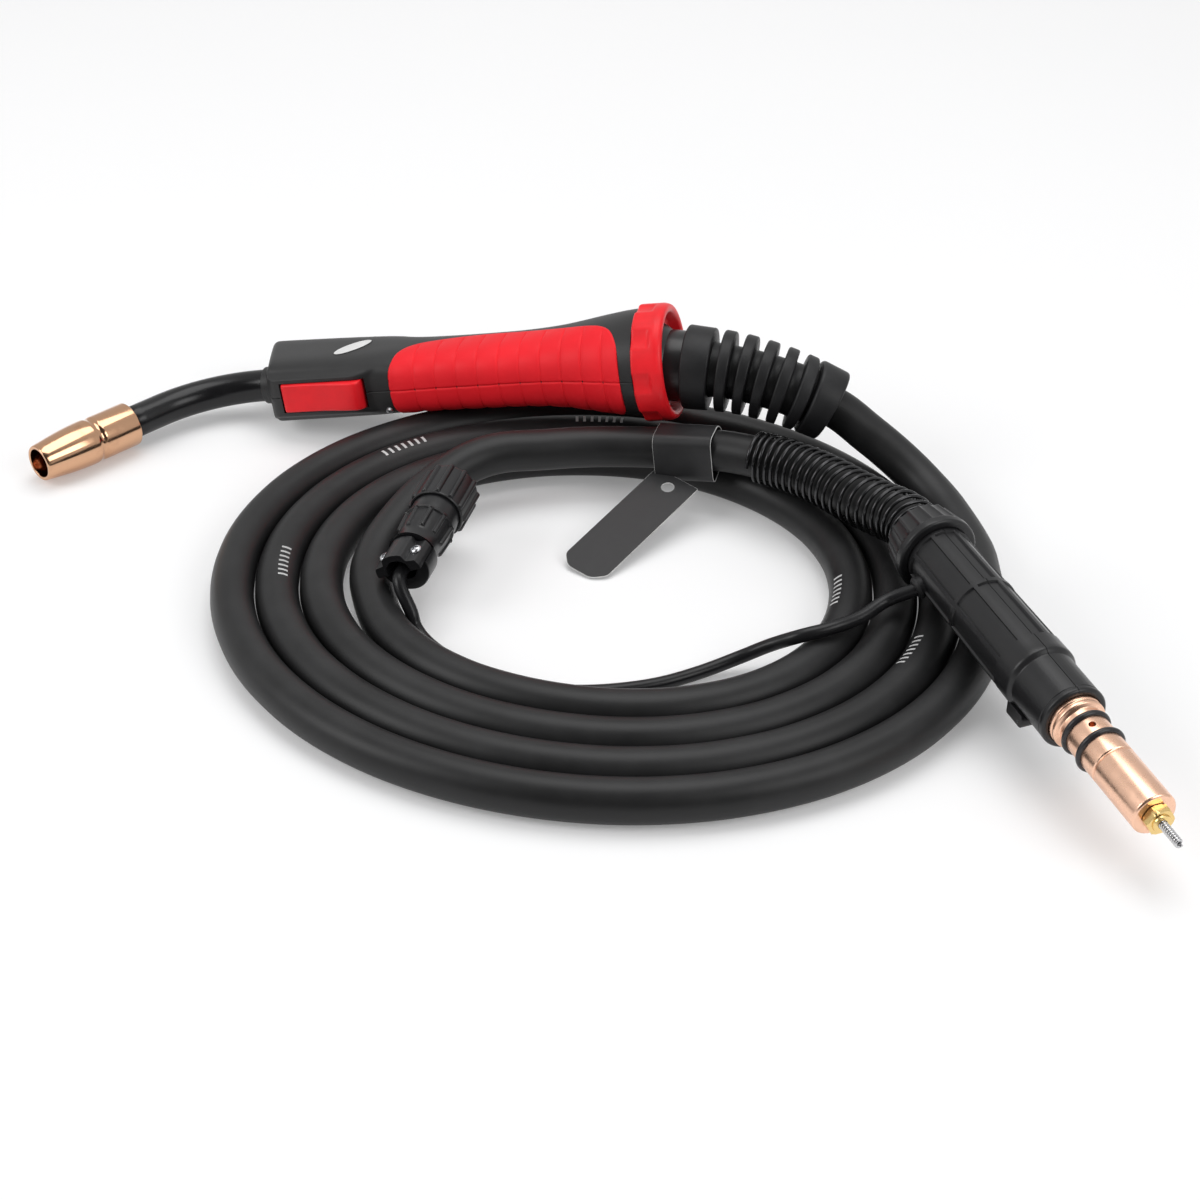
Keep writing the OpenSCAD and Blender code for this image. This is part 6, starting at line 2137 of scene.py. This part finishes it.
# ---------------- studio
@dataclass
class Studio:
    """Camera, floor, lamps and world."""

    eye: Triple = (0.0899, -0.8911, 0.5304)
    target: Triple = (0.0899, -0.1133, 0.0)
    roll: float = 0.0068
    lens: float = 76.36
    floor_colour: Colour = (0.80, 0.80, 0.805)
    floor_glow: float = 0.20
    floor_half: float = 30.0
    floor_drop: float = 0.0003
    sky: float = 0.42
    mirror: float = 0.65
    mirror_dim: float = 0.06
    dim_side: Triple = (0.0, -0.83, 0.56)

    def camera(self) -> None:
        """Places the camera and makes it the scene's own."""
        data = bpy.data.cameras.new("camera")
        data.lens = self.lens
        data.sensor_width = 36.0
        data.sensor_fit = "HORIZONTAL"
        data.clip_start = 0.01
        eye, target = np.array(self.eye), np.array(self.target)
        ahead = (target - eye) / np.linalg.norm(target - eye)
        right = np.array((1.0, 0.0, 0.0))
        up = np.cross(right, ahead)
        c, s = math.cos(self.roll), math.sin(self.roll)
        turned_right, turned_up = c * right + s * up, -s * right + c * up
        world = Matrix.Identity(4)
        for row in range(3):
            world[row] = (turned_right[row], turned_up[row], -ahead[row], eye[row])
        camera = bpy.data.objects.new("camera", data)
        camera.matrix_world = world
        bpy.context.scene.collection.objects.link(camera)
        bpy.context.scene.camera = camera

    def _lamp(self, name: str, place: Triple, target: Triple, size: float, power: float) -> None:
        """Adds one square soft lamp that faces a target."""
        data = bpy.data.lights.new(name, "AREA")
        data.energy = power
        data.shape = "SQUARE"
        data.size = size
        lamp = bpy.data.objects.new(name, data)
        lamp.location = place
        lamp.rotation_euler = (Vector(target) - Vector(place)).to_track_quat("-Z", "Y").to_euler()
        bpy.context.scene.collection.objects.link(lamp)

    def lamps(self) -> None:
        """Adds a broad top lamp and two fills."""
        middle = (0.09, -0.1, 0.0)
        self._lamp("top_lamp", (0.15, 0.25, 1.5), middle, 1.1, 9.5)
        self._lamp("left_lamp", (-1.1, -0.5, 0.9), middle, 0.7, 6.5)
        self._lamp("right_lamp", (1.0, -0.8, 0.9), middle, 0.7, 5.0)

    def floor(self) -> None:
        """Lays the pale floor, which shows white where no shadow falls."""
        bench = Bench("pale_floor")
        clouds = bench.noise(6.0, 2.0, 0.5)
        tone = bench.blend(self.floor_colour, shade(self.floor_colour, 1.01), clouds)
        diffuse = bench.put("ShaderNodeBsdfDiffuse", {}, {"Color": tone, "Roughness": 0.0})
        glow = bench.put("ShaderNodeEmission", {}, {"Color": (1.0, 1.0, 1.0), "Strength": self.floor_glow})
        both = bench.put("ShaderNodeAddShader", {}, {0: diffuse, 1: glow})
        bench.close(bench.mix(bench.seen(), diffuse, both))
        half = self.floor_half
        corners = [(-half, -half, 0), (half, -half, 0), (half, half, 0), (-half, half, 0)]
        piece = mesh_piece("floor", corners, [(0, 1, 2, 3)])
        piece.location.z = -self.floor_drop
        piece.data.materials.append(bench.owner)

    def world(self) -> None:
        """Lights the scene with a white world that has a dim wall on the camera's side in mirrors."""
        bench = Bench("studio", sky=True)
        bpy.context.scene.world = bench.owner

        def wall(strength: float, colour: Colour = (1.0, 1.0, 1.0)) -> Wire:
            """A plain background."""
            return bench.put("ShaderNodeBackground", {}, {"Color": colour, "Strength": strength})

        way = bench.put("ShaderNodeTexCoord", {}, {}, "Generated")
        toward = bench.share(way, self.dim_side).between(0.45, 0.85)
        mirrored = bench.mix(toward, wall(self.mirror), wall(self.mirror_dim, (1.0, 0.93, 0.88)))
        lit = bench.mix(bench.ray("Glossy"), wall(self.sky), mirrored)
        straight = bench.ray("Camera").most(bench.ray("Transmission"))
        bench.close(bench.mix(straight, lit, wall(1.0)))

    def build(self) -> None:
        """Sets the view transform, the lamps, the floor and the world up."""
        bpy.context.scene.view_settings.view_transform = "Standard"
        self.lamps()
        self.floor()
        self.world()


# ---------------- carried nodes
CARRIED: Dict[str, Finish] = {
    "gas_diffuser": BRASS, "handle_screws": ZINC_STEEL, "neck_adapter": BRASS, "inner_cable": CABLE_RUBBER,
    "trigger_pin": ZINC_STEEL, "trigger_spring": ZINC_STEEL, "microswitch": SWITCH_PLASTIC,
    "switch_plunger": PLUNGER_PLASTIC,
}


def main() -> None:
    logging.basicConfig(level=logging.INFO)
    studio = Studio()
    studio.camera()
    cable = PowerCable()
    power = cable.build()
    lead = ControlLead()
    thin = lead.build()
    for node, finish in CARRIED.items():
        finish.dress(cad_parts[node])
    Handle().build()
    TriggerLever().build()
    NozzleHead().build()
    Swivel().build()
    Boot().build()
    path = cable.end_path()
    on_power = [SupportSpring().build(path), *HangTag().build(path), *PowerPlug().build()]
    PrintedMarks().build(cable.coil, cable.diameter / 2)
    tuple(cable.tail_start())
    round(cable.route().length(), 3)
    tuple(lead.exit())
    round(lead.route().length(), 3)
    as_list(ControlPlug().build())
    studio.build()
    log.info("all pieces built")


if __name__ == "__main__":
    main()
